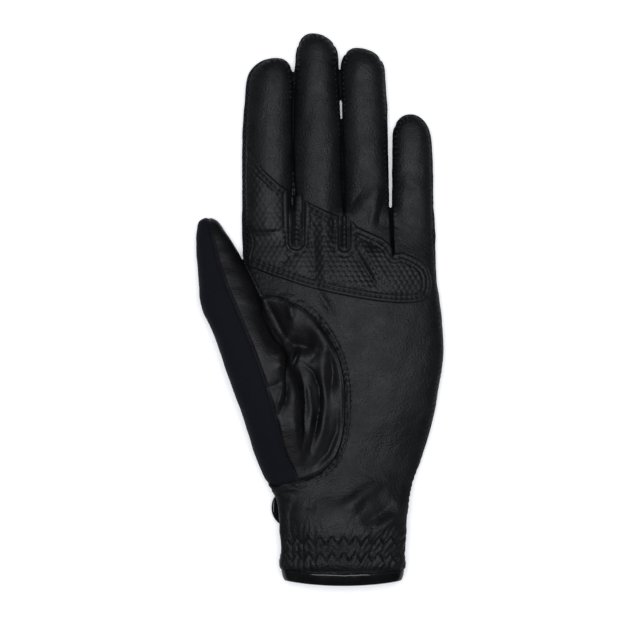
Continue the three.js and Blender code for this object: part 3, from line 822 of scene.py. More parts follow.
def fabric_material(name, dark, light):
    """Stretch fabric: a fine knit of slanting ribs, with a soft sheen."""
    material, nodes, links, shader = new_material(name, light, 0.82, 0.15)
    place = nodes.new("ShaderNodeTexCoord").outputs["Object"]
    knit = node(nodes, "ShaderNodeMath", operation="MULTIPLY")
    for angle, side in zip(RIB_ANGLES, knit.inputs):
        turned = texture(nodes, links, place, "ShaderNodeMapping", Rotation=(0, 0, math.radians(angle)))
        rib = texture(nodes, links, turned.outputs["Vector"], "ShaderNodeTexWave",
                      Scale=wave_scale(RIB_PITCH), Distortion=0.6)
        rib.inputs["Detail Scale"].default_value = 2.0
        links.new(rib.outputs["Fac"], side)
    fuzz = texture(nodes, links, place, "ShaderNodeTexNoise", Scale=1900.0, Detail=3.0, Roughness=0.7)
    tone = node(nodes, "ShaderNodeMix", data_type="FLOAT", Factor=0.5)
    links.new(knit.outputs[0], tone.inputs["A"])
    links.new(fuzz.outputs["Fac"], tone.inputs["B"])
    ramp(nodes, links, tone.outputs["Result"], shader.inputs["Base Color"], ((0.2, dark), (0.65, light)))
    shader.inputs["Sheen Weight"].default_value = 0.012
    shader.inputs["Sheen Roughness"].default_value = 0.5
    shader.inputs["Sheen Tint"].default_value = (0.25, 0.3, 0.5, 1)
    bump(nodes, links, shader, ((knit.outputs[0], 0.7, 0.1), (fuzz.outputs["Fac"], 0.5, 0.06)))
    return material


def patent_material(name, dark, light):
    """Glossy patent: a smooth lacquer over faint creases, with dulled scuffs."""
    material, nodes, links, shader = new_material(name, light, 0.24, 0.16)
    place = nodes.new("ShaderNodeTexCoord").outputs["Object"]
    crease = texture(nodes, links, place, "ShaderNodeTexNoise", Scale=210.0, Detail=3.0, Roughness=0.5)
    scuff = texture(nodes, links, place, "ShaderNodeTexNoise", Scale=900.0, Detail=4.0, Roughness=0.7)
    ramp(nodes, links, crease.outputs["Fac"], shader.inputs["Base Color"], ((0.35, dark), (0.7, light)))
    span(nodes, links, scuff.outputs["Fac"], shader.inputs["Roughness"], (0.35, 0.7), (0.14, 0.3))
    shader.inputs["Coat Weight"].default_value = 0.4
    shader.inputs["Coat IOR"].default_value = 1.25
    shader.inputs["Coat Roughness"].default_value = 0.08
    bump(nodes, links, shader, ((crease.outputs["Fac"], 0.6, 0.4),))
    return material


STRAND_PITCH = 0.35


def thread_material(name, dark, light):
    """Thread: twisted fine strands."""
    material, nodes, links, shader = new_material(name, light, 0.5, 0.12)
    place = nodes.new("ShaderNodeTexCoord").outputs["Object"]
    strand = texture(nodes, links, place, "ShaderNodeTexWave", Scale=wave_scale(STRAND_PITCH),
                     Distortion=2.0)
    ramp(nodes, links, strand.outputs["Fac"], shader.inputs["Base Color"], ((0.2, dark), (0.8, light)))
    bump(nodes, links, shader, ((strand.outputs["Fac"], 0.5, 0.05),))
    return material


# Each material's darker and lighter colour, then for leather its roughness and its specular level
palm_leather = leather_material(
    "palm_leather", (0.0028, 0.0029, 0.0034), (0.0055, 0.0057, 0.0065), (0.4, 0.54), 0.14)
thumb_leather = leather_material(
    "thumb_leather", (0.0024, 0.0024, 0.0028), (0.005, 0.005, 0.0055), (0.4, 0.54), 0.145, depth=0.06)
embossed_leather = leather_material(
    "embossed_leather", (0.0024, 0.0025, 0.0028), (0.0052, 0.0054, 0.006), (0.42, 0.56), 0.16,
    grain=0.5, depth=0.05)
navy_fabric = fabric_material("navy_fabric", (0.0009, 0.0013, 0.003), (0.0032, 0.0045, 0.0095))
patent = patent_material("patent_leather", (0.0025, 0.0025, 0.003), (0.006, 0.006, 0.0065))
black_thread = thread_material("black_thread", (0.002, 0.002, 0.0023), (0.006, 0.006, 0.007))
# The finger-edge thread is the black thread made lighter: painted light, standing in for the light that the
# raised beads catch on the shaded finger edges
edge_thread_painted_light = thread_material("edge_thread_painted_light", (0.006, 0.006, 0.007), (0.016, 0.016, 0.018))


# The form and its panels

FORM_STEP = ((0.43, 0.8, 0.5))
PATCH_STEP = ((0.4, 0.4, 0.4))
LEATHER_WALL = 1.0
FABRIC_WALL = 0.9


def form_table(low, high, step):
    """The form's surface between two corners: a row of place and normal a vertex, and triangles."""
    points, quads = form_surface(low, high, step)
    tris = triangles_of(points, quads)
    points = smoothed(points, tris)
    return np.hstack((points, normals_of(points, tris))), tris


def hem_bow(x, y):
    """How much further up things lie at the sides of the hem than at its middle."""
    share = x / (HEM_HALF * PALM_WIDTH)
    return HEM_BOW * np.maximum(0, 1 - y / HAND_LENGTH / BOW_FADE) * np.minimum(share * share, BOW_LIMIT)


def hem_value(x, y):
    return HEM_START + hem_bow(x, y) - y


def vent_value(x, y, z):
    half = VENT_WIDTH / 4 * (1 + np.clip(1 - y / VENT_LENGTH, 0, 1))
    return np.maximum(np.maximum(np.abs(x) - half, y - VENT_LENGTH), z - SIDE_SEAM_HEIGHT)


def oval_value(x, y):
    """About the distance out from the oval, below 0 inside."""
    low = y < OVAL_MIDDLE[1]
    power, height = np.where(low, *OVAL_POWERS), np.where(low, *OVAL_HEIGHTS)
    u = np.maximum(x - OVAL_MIDDLE[0], 0) / OVAL_WIDTH
    v = np.abs(y - OVAL_MIDDLE[1]) / height
    r = (u ** power + v ** power) ** (1 / power) + 1e-9
    slope = np.hypot((u / r) ** (power - 1) / OVAL_WIDTH, (v / r) ** (power - 1) / height) + 1e-9
    return (r - 1) / slope


def thumb_part_value(x, y, z):
    """Below 0 where the thumb's own form is the surface."""
    return (true_distance(thumb_field, x, y, z) - true_distance(hand_field, x, y, z)) / 2


def thumb_panel_value(x, y, z):
    return np.minimum(thumb_part_value(x, y, z), np.maximum(oval_value(x, y), SIDE_SEAM_HEIGHT - z))


def thumb_seam_value(x, y):
    return x - smooth_curve(THUMB_SEAM[:, 1], THUMB_SEAM[:, 0], y)


STRIPS = (("index", "middle"), ("middle", "ring"), ("ring", "little"))


def strip_value(first, second, x, y, z):
    """Below 0 on the side strips between two fingers."""
    ends = [tip_height(name) - FOURCHETTE_STOP for name in (first, second)]
    gap = finger_sides(first, np.array(HAND_LENGTH))[1]
    across = np.maximum(finger_middle(first, y) - x, x - finger_middle(second, y))
    along = np.maximum(HAND_LENGTH - 1.2 - y, y - np.where(x < gap, ends[0], ends[1]))
    height = np.abs(z - (SIDE_SEAM_HEIGHT - FOURCHETTE_HEIGHT / 2)) - FOURCHETTE_HEIGHT / 2
    return np.maximum(np.maximum(across, along), height)


form, form_tris = form_table((-66.5, -2.0, -1.2), (46.5, 242.5, 25.6), FORM_STEP)
form, form_tris = clip(form, form_tris, hem_value(form[:, 0], form[:, 1]))
form, form_tris = clip(form, form_tris, -vent_value(*form[:, :3].T))
value = thumb_panel_value(*form[:, :3].T)
thumb_panel = clip(form, form_tris, value)
rest = clip(form, form_tris, -value)
panels = {}
value = thumb_seam_value(thumb_panel[0][:, 0], thumb_panel[0][:, 1])
panels["thumb_back"] = clip(*thumb_panel, value)
panels["thumb_front"] = clip(*thumb_panel, -value)
for first, second in STRIPS:
    value = strip_value(first, second, *rest[0][:, :3].T)
    panels[f"fourchette_{first}_{second}"] = clip(*rest, value)
    rest = clip(*rest, -value)
value = SIDE_SEAM_HEIGHT - rest[0][:, 2]
panels["palm_panel"] = clip(*rest, value)
panels["back_panel"] = clip(*rest, -value)
panels = {name: without_crumbs(*panel) for name, panel in panels.items()}


# Relief

PLEAT_PITCH = 2.5
PLEAT_SLANT = 0.62
PLEAT_HEIGHT = 0.42
PLEAT_TOP = 26.5
WRIST_RISE = 1.6
RIPPLE_PITCH = 2.4
RIB_LUMP_PITCH = 2.1
VALLEY_BLUNTNESS = 0.012


def fold_relief(x, y, up):
    """The folds' height over the palm side, fading out down the sides."""
    total = np.zeros(len(x))
    for path, width, rise in FOLDS:
        away, along, length = path_distance(x, y, path)
        ends = np.minimum(along, length - along)
        taper = 0.25 + 0.75 * smoothstep(ends, 0, 0.35 * length)
        if rise > 0:
            core = bell(away, 1.25 * width)
        else:
            core = np.exp(-np.sqrt((away / width) ** 2 + VALLEY_BLUNTNESS))
        total += rise * taper * core
    return total * smoothstep(up, 0.05, 0.5)


def gather_relief(x, y, z):
    """The pleats on the wrist's elastic: rounded ridges and sharp valleys, slanting to the right."""
    flat = 0 * z
    slant = PLEAT_SLANT * smoothstep(x, -6, 14)
    wander = 0.7 * waves(x, y, flat, 9.0, 11) + 0.35 * waves(x, y, flat, 4.5, 12)
    turns = (x - slant * (y - 16) + wander) / PLEAT_PITCH
    ridge = np.sqrt(np.abs(np.sin(math.pi * turns)) + 0.02) - 0.62
    reach = PLEAT_TOP + 2.5 * waves(x, flat, flat, 5.0, 13)
    amount = smoothstep(y, 5.0, 8.5) * (1 - smoothstep(y, reach - 5, reach + 3))
    sides = 0.55 + 0.45 * smoothstep(np.abs(x - 1), 8, 17)
    held = 1 - 0.35 * sum(bell(y - row, 2.2) for row in ZIGZAG_HEIGHTS)
    return PLEAT_HEIGHT * ridge * amount * sides * held


def wrist_rise(y, up):
    """The palm's leather climbs a little towards the wrist and drops again to the hem."""
    return WRIST_RISE * (1 - smoothstep(y, 32, 57)) * smoothstep(y, 6, 24) * smoothstep(up, 0.05, 0.6)


def zigzag_line(x, row):
    """The height above the hem of a zigzag row of stitches."""
    turns = x / (ZIGZAG_PERIOD / 2)
    return row + ZIGZAG_RISE * (np.abs((turns % 2) - 1) * 2 - 1)


def zigzag_relief(x, y):
    """The zigzag stitches pull the elastic in along their line."""
    total = np.zeros(len(x))
    for row in ZIGZAG_HEIGHTS:
        slope = 4 * ZIGZAG_RISE / ZIGZAG_PERIOD
        away = (y - zigzag_line(x, row)) / math.hypot(1, slope)
        total += -0.36 * bell(away, 0.4) + 0.14 * bell(np.abs(away) - 0.9, 0.5)
    return total * (1 - smoothstep(np.abs(x), 24, 26))


def finger_frame(x, y):
    """For places on the fingers: the length along the nearest edge, and the share up to the tip."""
    run, share = y.copy(), np.zeros(len(y))
    for name in FINGERS:
        left, right = finger_sides(name, y)
        on = (x > left - 0.6) & (x < right + 0.6) & (y > HAND_LENGTH)
        tip_y = tip_height(name)
        centre_x, centre_y = FINGERS[name][2] * PALM_WIDTH, tip_y - 10
        turned = centre_y + 9 * np.arctan2(y - centre_y, np.abs(x - centre_x))
        run = np.where(on & (y > centre_y), turned, run)
        share = np.where(on, smoothstep(y, tip_y - 45, tip_y - 8), share)
    return run, share


def seam_ripples(x, y, z, up, edge):
    """Short ripples that run in from the seams, strongest at the fingertips."""
    run, share = finger_frame(x, y)
    wander = 0.5 * waves(x, y, z, 7.0, 21)
    wave = np.sin(2 * math.pi * (run + wander) / RIPPLE_PITCH)
    near = smoothstep(edge, 0.2, 1.2) * (1 - smoothstep(edge, 2.0, 4.5))
    return (0.14 + 0.1 * share) * wave * near * smoothstep(up, -0.2, 0.2)


def swell(x, y, z):
    return 0.22 * waves(x, y, z, 21, 1) + 0.1 * waves(x, y, z, 8, 2) + 0.03 * waves(x, y, z, 3.2, 3)


def dashes(along, pitch):
    """1 along a stitch, 0 between two."""
    return smoothstep(np.abs((along / pitch) % 1 - 0.5), 0.02, 0.3)


def oval_seam_relief(x, y):
    """The thumb panel's seam: two raised bands, each held down by a row of stitches."""
    away, along, _ = path_distance(x, y, OVAL_PATH)
    away = np.where(oval_value(x, y) > 0, away, 9.0)
    total = 0.2 * bell(away - 0.75, 0.5) + 0.2 * bell(away - 2.25, 0.5)
    held = sum(bell(away - row, 0.32) for row in OVAL_ROWS)
    total -= (0.15 + 0.08 * dashes(along, OVAL_PITCH)) * held
    return total * smoothstep(x, -24, -9)


def crotch_relief(x, y):
    """The bound strips between two finger roots: a lumpy rib between two rows of stitches."""
    total = np.zeros(len(x))
    for crotch in CROTCHES:
        low, top, half = crotch["low"], crotch["top"], crotch["half"]
        run = smoothstep(y, low + 0.5, low + 2.5) * (1 - smoothstep(y, top, top + 3))
        away = np.abs(x - crotch["x"])
        lump = 0.75 + 0.35 * np.sin(2 * math.pi * y / RIB_LUMP_PITCH)
        total += run * (0.75 * lump * bell(away, 0.3 * half) - 0.35 * bell(away - 0.62 * half, 0.35))
    return total


# How each panel's edge rolls down into its seam: depth and width
EDGE_ROLLS = {
    "palm_panel": (0.45, 0.9), "thumb_front": (0.55, 1.4), "thumb_back": (0.5, 1.6),
    "back_panel": (0.4, 1.2),
}
STRIP_ROLL = (0.45, 1.2)
PATCH_ROLL = (0.32, 0.7)


def edge_roll(edge, depth, width):
    return -depth * (1 - smoothstep(edge, 0, width))


def panel_height(name, x, y, z, up, edge):
    """How far each place of a panel stands off the plain form."""
    height = swell(x, y, z) + fold_relief(x, y, up) + edge_roll(edge, *EDGE_ROLLS.get(name, STRIP_ROLL))
    if name in ("palm_panel", "back_panel"):
        height += gather_relief(x, y, z)
    if name == "palm_panel":
        height += seam_ripples(x, y, z, up, edge) + zigzag_relief(x, y) + oval_seam_relief(x, y)
        height += crotch_relief(x, y) + wrist_rise(y, up)
        height += 0.45 * (1 - smoothstep(oval_value(x, y), 0, 4.5)) * smoothstep(x, -34, -26)
    if name == "thumb_front":
        height += 0.1 * seam_ripples(x, y, z, up, edge)
    return height


PANEL_LOOKS = {
    "palm_panel": (palm_leather, "palm_leather", LEATHER_WALL),
    "thumb_front": (thumb_leather, "thumb_leather", LEATHER_WALL),
}
FABRIC_LOOK = (navy_fabric, "navy_fabric", FABRIC_WALL)

shaped = {}
for name, (table, tris) in panels.items():
    points, normals = table[:, :3], unit(table[:, 3:6])
    height = panel_height(name, *points.T, normals[:, 2], border_distance(points, tris))
    outer = points + normals * height[:, None]
    outer[:, 2] = np.maximum(outer[:, 2], 0.02)
    material, slot, wall = PANEL_LOOKS.get(name, FABRIC_LOOK)
    inner = outer - normals * wall
    inner[:, 2] = np.maximum(inner[:, 2], 0.5)
    shaped[name] = {"rest": points, "outer": outer, "normals": normals, "tris": tris}
    add_piece(name + "_skin", *thickened(outer, inner, tris), material, slot, (name,))


# The grip patch

NOTCH_POINTS = 9


def notch_arc(crotch):
    """The round lower end of the notch between two fingers."""
    radius = crotch["half"]
    angles = np.radians(np.linspace(0, -180, NOTCH_POINTS))
    x, y = crotch["x"], crotch["low"] + radius
    return np.stack((x + radius * np.cos(angles), y + radius * np.sin(angles)), 1)


INDEX_CROTCH, MIDDLE_CROTCH = CROTCHES
OUTLINE = np.array([
    *PATCH_LOWER, *PATCH_RIGHT, *PATCH_RING, *notch_arc(MIDDLE_CROTCH), *PATCH_MIDDLE,
    *notch_arc(INDEX_CROTCH), *PATCH_INDEX,
])
PATCH_BASE = SIDE_SEAM_HEIGHT + 1.0
DOT_PITCH = 2.45
DOT_ROWS = 2.12
STITCH_PITCH = 2.35
PATCH_ROWS = (2.2, 4.05)


def patch_place(x, y):
    """Distance in from the patch's edge, above 0 inside, and the length along the edge."""
    away, along, _ = path_distance(x, y, np.vstack((OUTLINE, OUTLINE[:1])))
    return np.where(within(x, y, OUTLINE), away, -away), along


LENGTHS = lengths_along(OUTLINE)
RING_END = len(PATCH_LOWER) + len(PATCH_RIGHT) + len(PATCH_RING) - 1
MIDDLE_END = RING_END + NOTCH_POINTS + len(PATCH_MIDDLE)
NOTCHES = tuple((LENGTHS[i], LENGTHS[i + NOTCH_POINTS + 1]) for i in (RING_END, MIDDLE_END))


def in_notch(along):
    """1 along the notches between the fingers, where one row of stitches holds the edge."""
    return sum(smoothstep(along, a - 1, a + 1) * (1 - smoothstep(along, b - 1, b + 1)) for a, b in NOTCHES)


def dots(x, y):
    """Height of the raised rounded dots: a hex lattice with level rows."""
    row = np.round(y / DOT_ROWS)
    best = np.full(len(x), 9.0)
    for step in (-1, 0, 1):
        r = row + step
        shift = np.where(r % 2 == 0, 0.0, DOT_PITCH / 2)
        column = np.round((x - shift) / DOT_PITCH)
        best = np.minimum(best, np.hypot(x - shift - column * DOT_PITCH, y - r * DOT_ROWS))
    return 1 - smoothstep(best, 0.45, 1.12)


patch, patch_tris = form_table((-49.0, 119.0, 8.0), (41.0, 203.0, 19.5), PATCH_STEP)
inside, along = patch_place(patch[:, 0], patch[:, 1])
value = np.maximum(-inside, PATCH_BASE - patch[:, 2])
value = np.maximum(value, 0.6 - thumb_part_value(*patch[:, :3].T))
patch, patch_tris = without_crumbs(*clip(patch, patch_tris, value, 0.04))
points, normals = patch[:, :3], unit(patch[:, 3:6])
x, y, z = points.T
inside, along = patch_place(x, y)
edge = border_distance(points, patch_tris)
near = np.minimum(inside, edge + 3.0)
notch = in_notch(along)
wave = np.abs(np.sin(math.pi * along / STITCH_PITCH))
dash = dashes(along, STITCH_PITCH)
inner_row = PATCH_ROWS[1] * (1 - notch) + PATCH_ROWS[0] * notch
border = smoothstep(near, inner_row + 0.1, inner_row + 0.6)
base = swell(x, y, z) + fold_relief(x, y, normals[:, 2])
height = base + 0.5 + (0.09 + 0.1 * smoothstep(x, -28, -4)) * dots(x, y) * border
height += 0.2 * bell(near - PATCH_ROWS[0] / 2, 0.7) * (0.5 + 0.5 * wave)
for row, held in zip(PATCH_ROWS, (1, 1 - notch)):
    height -= held * (0.06 + 0.2 * dash) * bell(near - row, 0.36)
height += 0.2 * bell(near - sum(PATCH_ROWS) / 2, 0.5) * (0.4 + 0.6 * wave) * (1 - notch)
height += edge_roll(np.minimum(inside, edge), *PATCH_ROLL)
outer = points + normals * height[:, None]
inner = points + normals * (base + 0.06)[:, None]
shaped["grip_patch"] = {"outer": outer, "tris": patch_tris}
wall = thickened(outer, inner, patch_tris)
add_piece("grip_patch_skin", *wall, embossed_leather, "embossed_leather", ("grip_patch",), 60)


# Stitches and beads

def seen_from_above(name):
    """A function that finds a piece's surface under a place in plan: place and normal, or None."""
    tree = BVHTree.FromPolygons(shaped[name]["outer"].tolist(), shaped[name]["tris"].tolist())

    def find(x, y):
        hit, normal, _, _ = tree.ray_cast(Vector((x, y, 60)), Vector((0, 0, -1)))
        return (hit, normal) if hit is not None else None
    return find


BEAD_SIDES = 6
BEAD_RINGS = ((-1.0, 0.0), (-0.72, 0.72), (0.0, 1.0), (0.72, 0.72), (1.0, 0.0))  # place along, size


def bead_mesh(places, ways, ups, half_length, radius, dip):
    """Small stitches: one rounded bead at each place, its ends dipping into the leather."""
    places, ways, ups = (np.asarray(v, float) for v in (places, ways, ups))
    ups = unit(ups - (ups * ways).sum(1, keepdims=True) * ways)
    sides = np.cross(ways, ups)
    n = BEAD_SIDES
    rows = []
    for at, size in BEAD_RINGS:
        for a in np.arange(n if size else 1) * 2 * math.pi / n:
            across, up = size * radius * math.cos(a), size * radius * BEAD_FLATNESS * math.sin(a)
            rows.append((at * half_length, across, up - dip * at * at))
    rows = np.array(rows)
    points = places[:, None, :]
    for column, way in zip(rows.T, (ways, sides, ups)):
        points = points + column[None, :, None] * way[:, None, :]
    last = 1 + 2 * n
    faces = []
    for i in range(n):
        j = (i + 1) % n
        faces.append((0, 1 + i, 1 + j))
        for ring in range(2):
            a, b = 1 + ring * n + i, 1 + ring * n + j
            faces += [(a, a + n, b), (b, a + n, b + n)]
        faces.append((last + i, last + n, last + j))
    faces = np.array(faces)
    count = len(rows)
    all_faces = (faces[None] + count * np.arange(len(places))[:, None, None]).reshape(-1, 3)
    points = points.reshape(-1, 3)
    a, b, c = (points[faces[:, i]] for i in range(3))
    if (np.cross(b - a, c - a) * (a - points[:count].mean(0))).sum() < 0:
        all_faces = all_faces[:, ::-1]
    return points, all_faces


def merged(meshes):
    points, faces, start = [], [], 0
    for p, f in meshes:
        points.append(p)
        faces.append(f + start)
        start += len(p)
    return np.vstack(points), np.vstack(faces)


def offset_places(path, offset, pitch, find, lift, skipped=None, closed=True):
    """Places beside a plan path, offset to its left, on the surface below."""
    path = np.asarray(path, float)
    if closed:
        path = np.vstack((path, path[:1]))
    at = lengths_along(path)
    s = np.arange(0, at[-1], pitch)
    if skipped is not None:
        s = s[skipped(s) < 0.5]
    ahead = read_along(path, at, np.minimum(s + 0.8, at[-1]))
    behind = read_along(path, at, np.maximum(s - 0.8, 0))
    way = unit(ahead - behind)
    spots = read_along(path, at, s) + offset * np.stack((-way[:, 1], way[:, 0]), 1)
    places, ways, ups = [], [], []
    for spot, direction in zip(spots, way):
        hit = find(*spot)
        if hit is None or hit[1].z < 0.25:
            continue
        place, normal = np.array(hit[0]), np.array(hit[1])
        slope = np.array((*direction, 0.0))
        slope -= (slope @ normal) * normal
        places.append(place + lift * normal)
        ways.append(slope / np.linalg.norm(slope))
        ups.append(normal)
    return places, ways, ups


def leaning(ways, ups):
    """Directions across a seam that slant along it."""
    return np.cross(ways, ups) * math.cos(OVERCAST_SLANT) + np.array(ways) * math.sin(OVERCAST_SLANT)


def seam_beads(name, usable, pitch, lift, bead):
    """Overcast beads along part of a panel's border."""
    shape = shaped[name]
    meshes = []
    for chain in border_chains(shape["tris"], usable(*shape["rest"].T)):
        points = shape["outer"][chain]
        for _ in range(6):
            points[1:-1] = (points[:-2] + 2 * points[1:-1] + points[2:]) / 4
        places, ways, ups = even_steps(points, pitch, shape["normals"][chain])
        meshes.append(bead_mesh(places + lift * ups, leaning(ways, ups), ups, *bead))
    return merged(meshes)


def finger_edge(name, start, side):
    """A finger's edge in plan from a height above the hem up to its tip: side is -1 left, 1 right."""
    tip_y = tip_height(name)
    y = tip_y - (tip_y - start) * np.linspace(1, 0, 60) ** 1.6
    left, right = finger_sides(name, y)
    size = tip_size(np.clip((y - (tip_y - TIP_LENGTH)) / TIP_LENGTH, 0, 1))
    middle = (left + right) / 2
    middle += (FINGERS[name][2] * PALM_WIDTH - middle) * (1 - size)
    return np.stack((middle + side * (right - left) / 2 * size, y), 1)


on_patch = seen_from_above("grip_patch")
on_palm = seen_from_above("palm_panel")
rows = []
for offset, skipped in zip(PATCH_ROWS, (None, in_notch)):
    spots = offset_places(OUTLINE, offset, STITCH_PITCH, on_patch, 0.02, skipped)
    rows.append(bead_mesh(*spots, *PATCH_BEAD))
add_piece("patch_stitches", *merged(rows), black_thread, "embossed_leather")

rows = []
for offset in OVAL_ROWS:
    spots = offset_places(OVAL_PATH, -offset, OVAL_PITCH, on_palm, 0.0, closed=False)
    rows.append(bead_mesh(*spots, *OVAL_BEAD))
add_piece("thumb_panel_stitches", *merged(rows), black_thread, "palm_leather")

rows = []
for name, start, side in EDGE_STITCHES:
    edge_path = finger_edge(name, start, side)
    inset = side * EDGE_INSET
    places, ways, ups = offset_places(edge_path, inset, EDGE_PITCH, on_palm, 0.05, closed=False)
    if places:
        rows.append(bead_mesh(places, leaning(ways, ups), ups, *EDGE_BEAD))
# These beads use the lighter thread: a painted highlight for the light they catch on the shaded finger
# edges
add_piece("finger_edge_stitches", *merged(rows), edge_thread_painted_light, "palm_leather")


def on_side_seam(x, y, z):
    return (np.abs(z - SIDE_SEAM_HEIGHT) < 0.25) & (y > 45)


def on_thumb_seam(x, y, z):
    return np.abs(thumb_seam_value(x, y)) < 0.3


beads = seam_beads("palm_panel", on_side_seam, 2.4, 0.1, SIDE_SEAM_BEAD)
add_piece("outseam_beads", *beads, black_thread, "palm_leather")
beads = seam_beads("thumb_front", on_thumb_seam, 2.0, -0.05, THUMB_SEAM_BEAD)
add_piece("thumb_seam_beads", *beads, black_thread, "thumb_leather")


# Zigzag stitching on the elastic

meshes = []
for row in ZIGZAG_HEIGHTS:
    dot = ZIGZAG_PERIOD / 2 / DOTS_A_LEG
    number = int(ZIGZAG_WIDTH / dot)
    corners = dot * (np.arange(number + 1) - number // 2)
    heights = zigzag_line(corners, row)
    places, ways, ups = [], [], []
    for i in range(number):
        a, b = (corners[i], heights[i]), (corners[i + 1], heights[i + 1])
        hits = on_palm(*a), on_palm(*b)
        if None in hits:
            continue
        start, stop = (np.array(h[0]) for h in hits)
        normal = np.array((hits[0][1] + hits[1][1]).normalized())
        way = stop - start
        length = np.linalg.norm(way)
        if length > 2.0:
            continue
        places.append((start + stop) / 2 + normal * 0.05)
        ways.append(way / length)
        ups.append(normal)
    meshes.append(bead_mesh(places, ways, ups, *ZIGZAG_BEAD))
add_piece("zigzag_stitches", *merged(meshes), black_thread, "palm_leather")


# Binding round the hem

def wrist_ring(y, spacing):
    """The wrist's outline at a height, from one side of the vent round to the other."""
    left, right, base, top = (float(v) for v in hand_sides(np.array(y)))
    middle, half = (left + right) / 2, (right - left) / 2
    level, height = (top + base) / 2, (top - base) / 2
    angles = np.radians(np.linspace(-90, 270, 2401))
    power = np.where(np.sin(angles) > 0, TOP_ROUNDNESS, BASE_ROUNDNESS)
    x = middle + half * signed_power(np.cos(angles), 2 / power)
    z = level + height * signed_power(np.sin(angles), 2 / power)
    keep = ~((np.abs(x) < VENT_WIDTH / 2) & (z < level))
    ring = np.stack((x, z), 1)[keep]
    at = lengths_along(ring)
    s = np.linspace(0, at[-1], int(at[-1] / spacing))
    x, z = read_along(ring, at, s).T
    return x, z, unit(np.stack((np.gradient(z), -np.gradient(x)), 1)), s


def lofted(rings):
    """A closed surface through rings of points."""
    rings = np.asarray(rings)
    rows, count = rings.shape[:2]
    points = rings.reshape(-1, 3)
    i = np.arange(count)
    j = (i + 1) % count
    faces = []
    for row in range(rows - 1):
        a, b = row * count + i, row * count + j
        faces.append(np.stack((a, b, b + count), 1))
        faces.append(np.stack((a, b + count, a + count), 1))
    ends = []
    for first, flip in ((0, True), ((rows - 1) * count, False)):
        centre = len(points) + len(ends)
        ends.append(points[first:first + count].mean(0))
        cap = np.stack((np.full(count, centre), first + i, first + j), 1)
        faces.append(cap[:, ::-1] if flip else cap)
    points = np.vstack((points, ends))
    faces = np.vstack(faces)
    a, b, c = (points[faces[:, k]] for k in range(3))
    if (np.cross(a, b) * c).sum() < 0:
        faces = faces[:, ::-1]
    return points, faces


# The binding's section: out from the leather, up from the hem
BINDING_PROFILE = (
    (0.7, 5.3), (0.95, 5.25), (1.15, 5.08), (1.26, 4.8), (1.22, 4.4), (1.08, 3.6), (0.9, 2.7),
    (0.68, 1.8), (0.42, 1.0), (0.2, 0.45), (-0.1, 0.1), (-0.4, 0.0), (-0.9, 0.0), (-1.7, 0.25),
    (-2.15, 0.9), (-2.3, 2.0), (-2.3, 4.2), (-2.1, 4.9), (-1.8, 5.1), (-1.5, 4.8), (-1.4, 2.2),
    (-0.9, 1.6), (-0.1, 1.5), (0.3, 2.0), (0.3, 4.6), (0.45, 5.1),
)
ring_x, ring_z, ring_out, ring_s = wrist_ring(3.0, 0.5)
rings = []
for x, z, out, s in zip(ring_x, ring_z, ring_out, ring_s):
    wobble = 0.05 * math.sin(s * 0.31) + 0.03 * math.sin(s * 0.83 + 1)
    ring = []
    for n, h in BINDING_PROFILE:
        off = n + (wobble if n > 0.5 else 0)
        lift = (0.08 * math.sin(s * 0.5 + 2) + 0.05 * math.sin(s * 1.1)) if h > 4 else 0
        ring.append((x + out[0] * off, h + hem_bow(x, h) + lift, z + out[1] * off))
    rings.append(ring)
add_piece("cuff_binding_skin", *lofted(rings), patent, "patent_leather", ("cuff_binding",), 60)


# Closure strap under the wrist

# The strap's course under the wrist: across, above the table
STRAP_RUN = np.array([
    (12.3, 2.5), (0.0, 2.5), (-10.0, 2.6), (-17.0, 3.0), (-22.0, 3.7), (-26.0, 4.9), (-29.0, 6.1),
    (-31.3, 7.2),
])
STRAP_THICKNESS = 1.6


def strap_rings():
    at = lengths_along(STRAP_RUN)
    half = STRAP_WIDTH / 2
    round_from = at[-1] - half
    turn = np.linspace(0, math.pi / 2 * 0.985, 22)
    s = np.concatenate((np.linspace(0, round_from, 40)[:-1], round_from + half * np.sin(turn)))
    width = np.sqrt(half ** 2 - np.maximum(s - round_from, 0) ** 2)
    x, z = smooth_curve(at, STRAP_RUN[:, 0], s), smooth_curve(at, STRAP_RUN[:, 1], s)
    normals = unit(np.stack((-np.gradient(z, s), np.gradient(x, s)), 1))
    angles = np.radians(np.arange(0, 360, 12))
    u, v = signed_power(np.cos(angles), 0.5), signed_power(np.sin(angles), 0.7)
    rim = 1 - 0.16 * bell(np.abs(u) - 0.82, 0.07)
    rings = []
    for i, (nx, nz) in enumerate(normals):
        rise = STRAP_THICKNESS / 2 * min(1.0, (width[i] / half) * 2.2 + 0.1) * v * rim
        rings.append(np.stack((x[i] + nx * rise, STRAP_CENTRE + width[i] * u, z[i] + nz * rise), 1))
    return rings


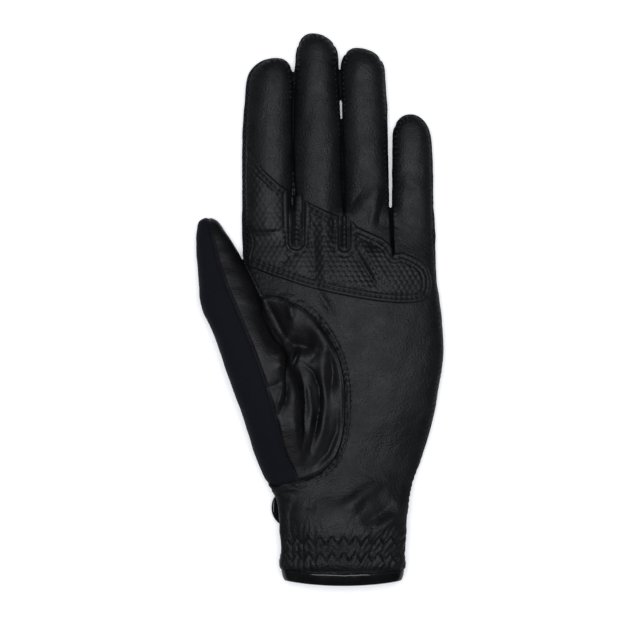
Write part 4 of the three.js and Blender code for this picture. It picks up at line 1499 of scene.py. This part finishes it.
add_piece("closure_strap_skin", *lofted(strap_rings()), patent, "patent_leather", ("closure_strap",), 50)


# Floor, light and camera

FLOOR_HALF = 3
FLOOR_GLOW = 0.3
LIGHT_COLOR = (0.93, 0.95, 1.0)
WORLD_STRENGTH = 0.07

# Lights aimed at the middle: name, place, size, power
LIGHTS = (
    ("overhead", (0.0, 0.05, 2.1), (1.2, 1.2), 45),
    ("left", (-1.6, 0.5, 1.2), (0.9, 1.2), 2),
    ("right", (1.6, -0.2, 1.2), (0.9, 1.2), 1.5),
)
CAMERA_PLACE = (0.0, -0.0047, 1.6)
PICTURE_WIDTH = 0.278  # seen at the glove's height
GLOVE_LEVEL = 0.012
SENSOR = 36

corners = [(a * FLOOR_HALF, b * FLOOR_HALF, 0) for a, b in ((-1, -1), (1, -1), (1, 1), (-1, 1))]
floor_mesh = bpy.data.meshes.new("floor")
floor_mesh.from_pydata(corners, [], [(0, 1, 2, 3)])
floor_material, _, _, shader = new_material("floor", (0.9, 0.9, 0.9), 0.9, 0.0)
shader.inputs["Emission Color"].default_value = (1, 1, 1, 1)
shader.inputs["Emission Strength"].default_value = FLOOR_GLOW
floor_mesh.materials.append(floor_material)
show("floor", floor_mesh)

for name, place, size, power in LIGHTS:
    data = bpy.data.lights.new(name, "AREA")
    data.shape = "RECTANGLE"
    data.size, data.size_y = size
    data.energy = power
    data.color = LIGHT_COLOR
    light = show(name, data)
    light.location = place
    light.rotation_euler = (-Vector(place)).to_track_quat("-Z", "Y").to_euler()

world = bpy.data.worlds.new("world")
world.use_nodes = True
world.node_tree.nodes["Background"].inputs["Color"].default_value = (1, 1, 1, 1)
world.node_tree.nodes["Background"].inputs["Strength"].default_value = WORLD_STRENGTH
bpy.context.scene.world = world

camera_data = bpy.data.cameras.new("camera")
camera_data.sensor_width = SENSOR
camera_data.lens = SENSOR * (CAMERA_PLACE[2] - GLOVE_LEVEL) / PICTURE_WIDTH
camera = show("camera", camera_data)
camera.location = CAMERA_PLACE
bpy.context.scene.camera = camera
bpy.context.scene.view_settings.view_transform = "Standard"
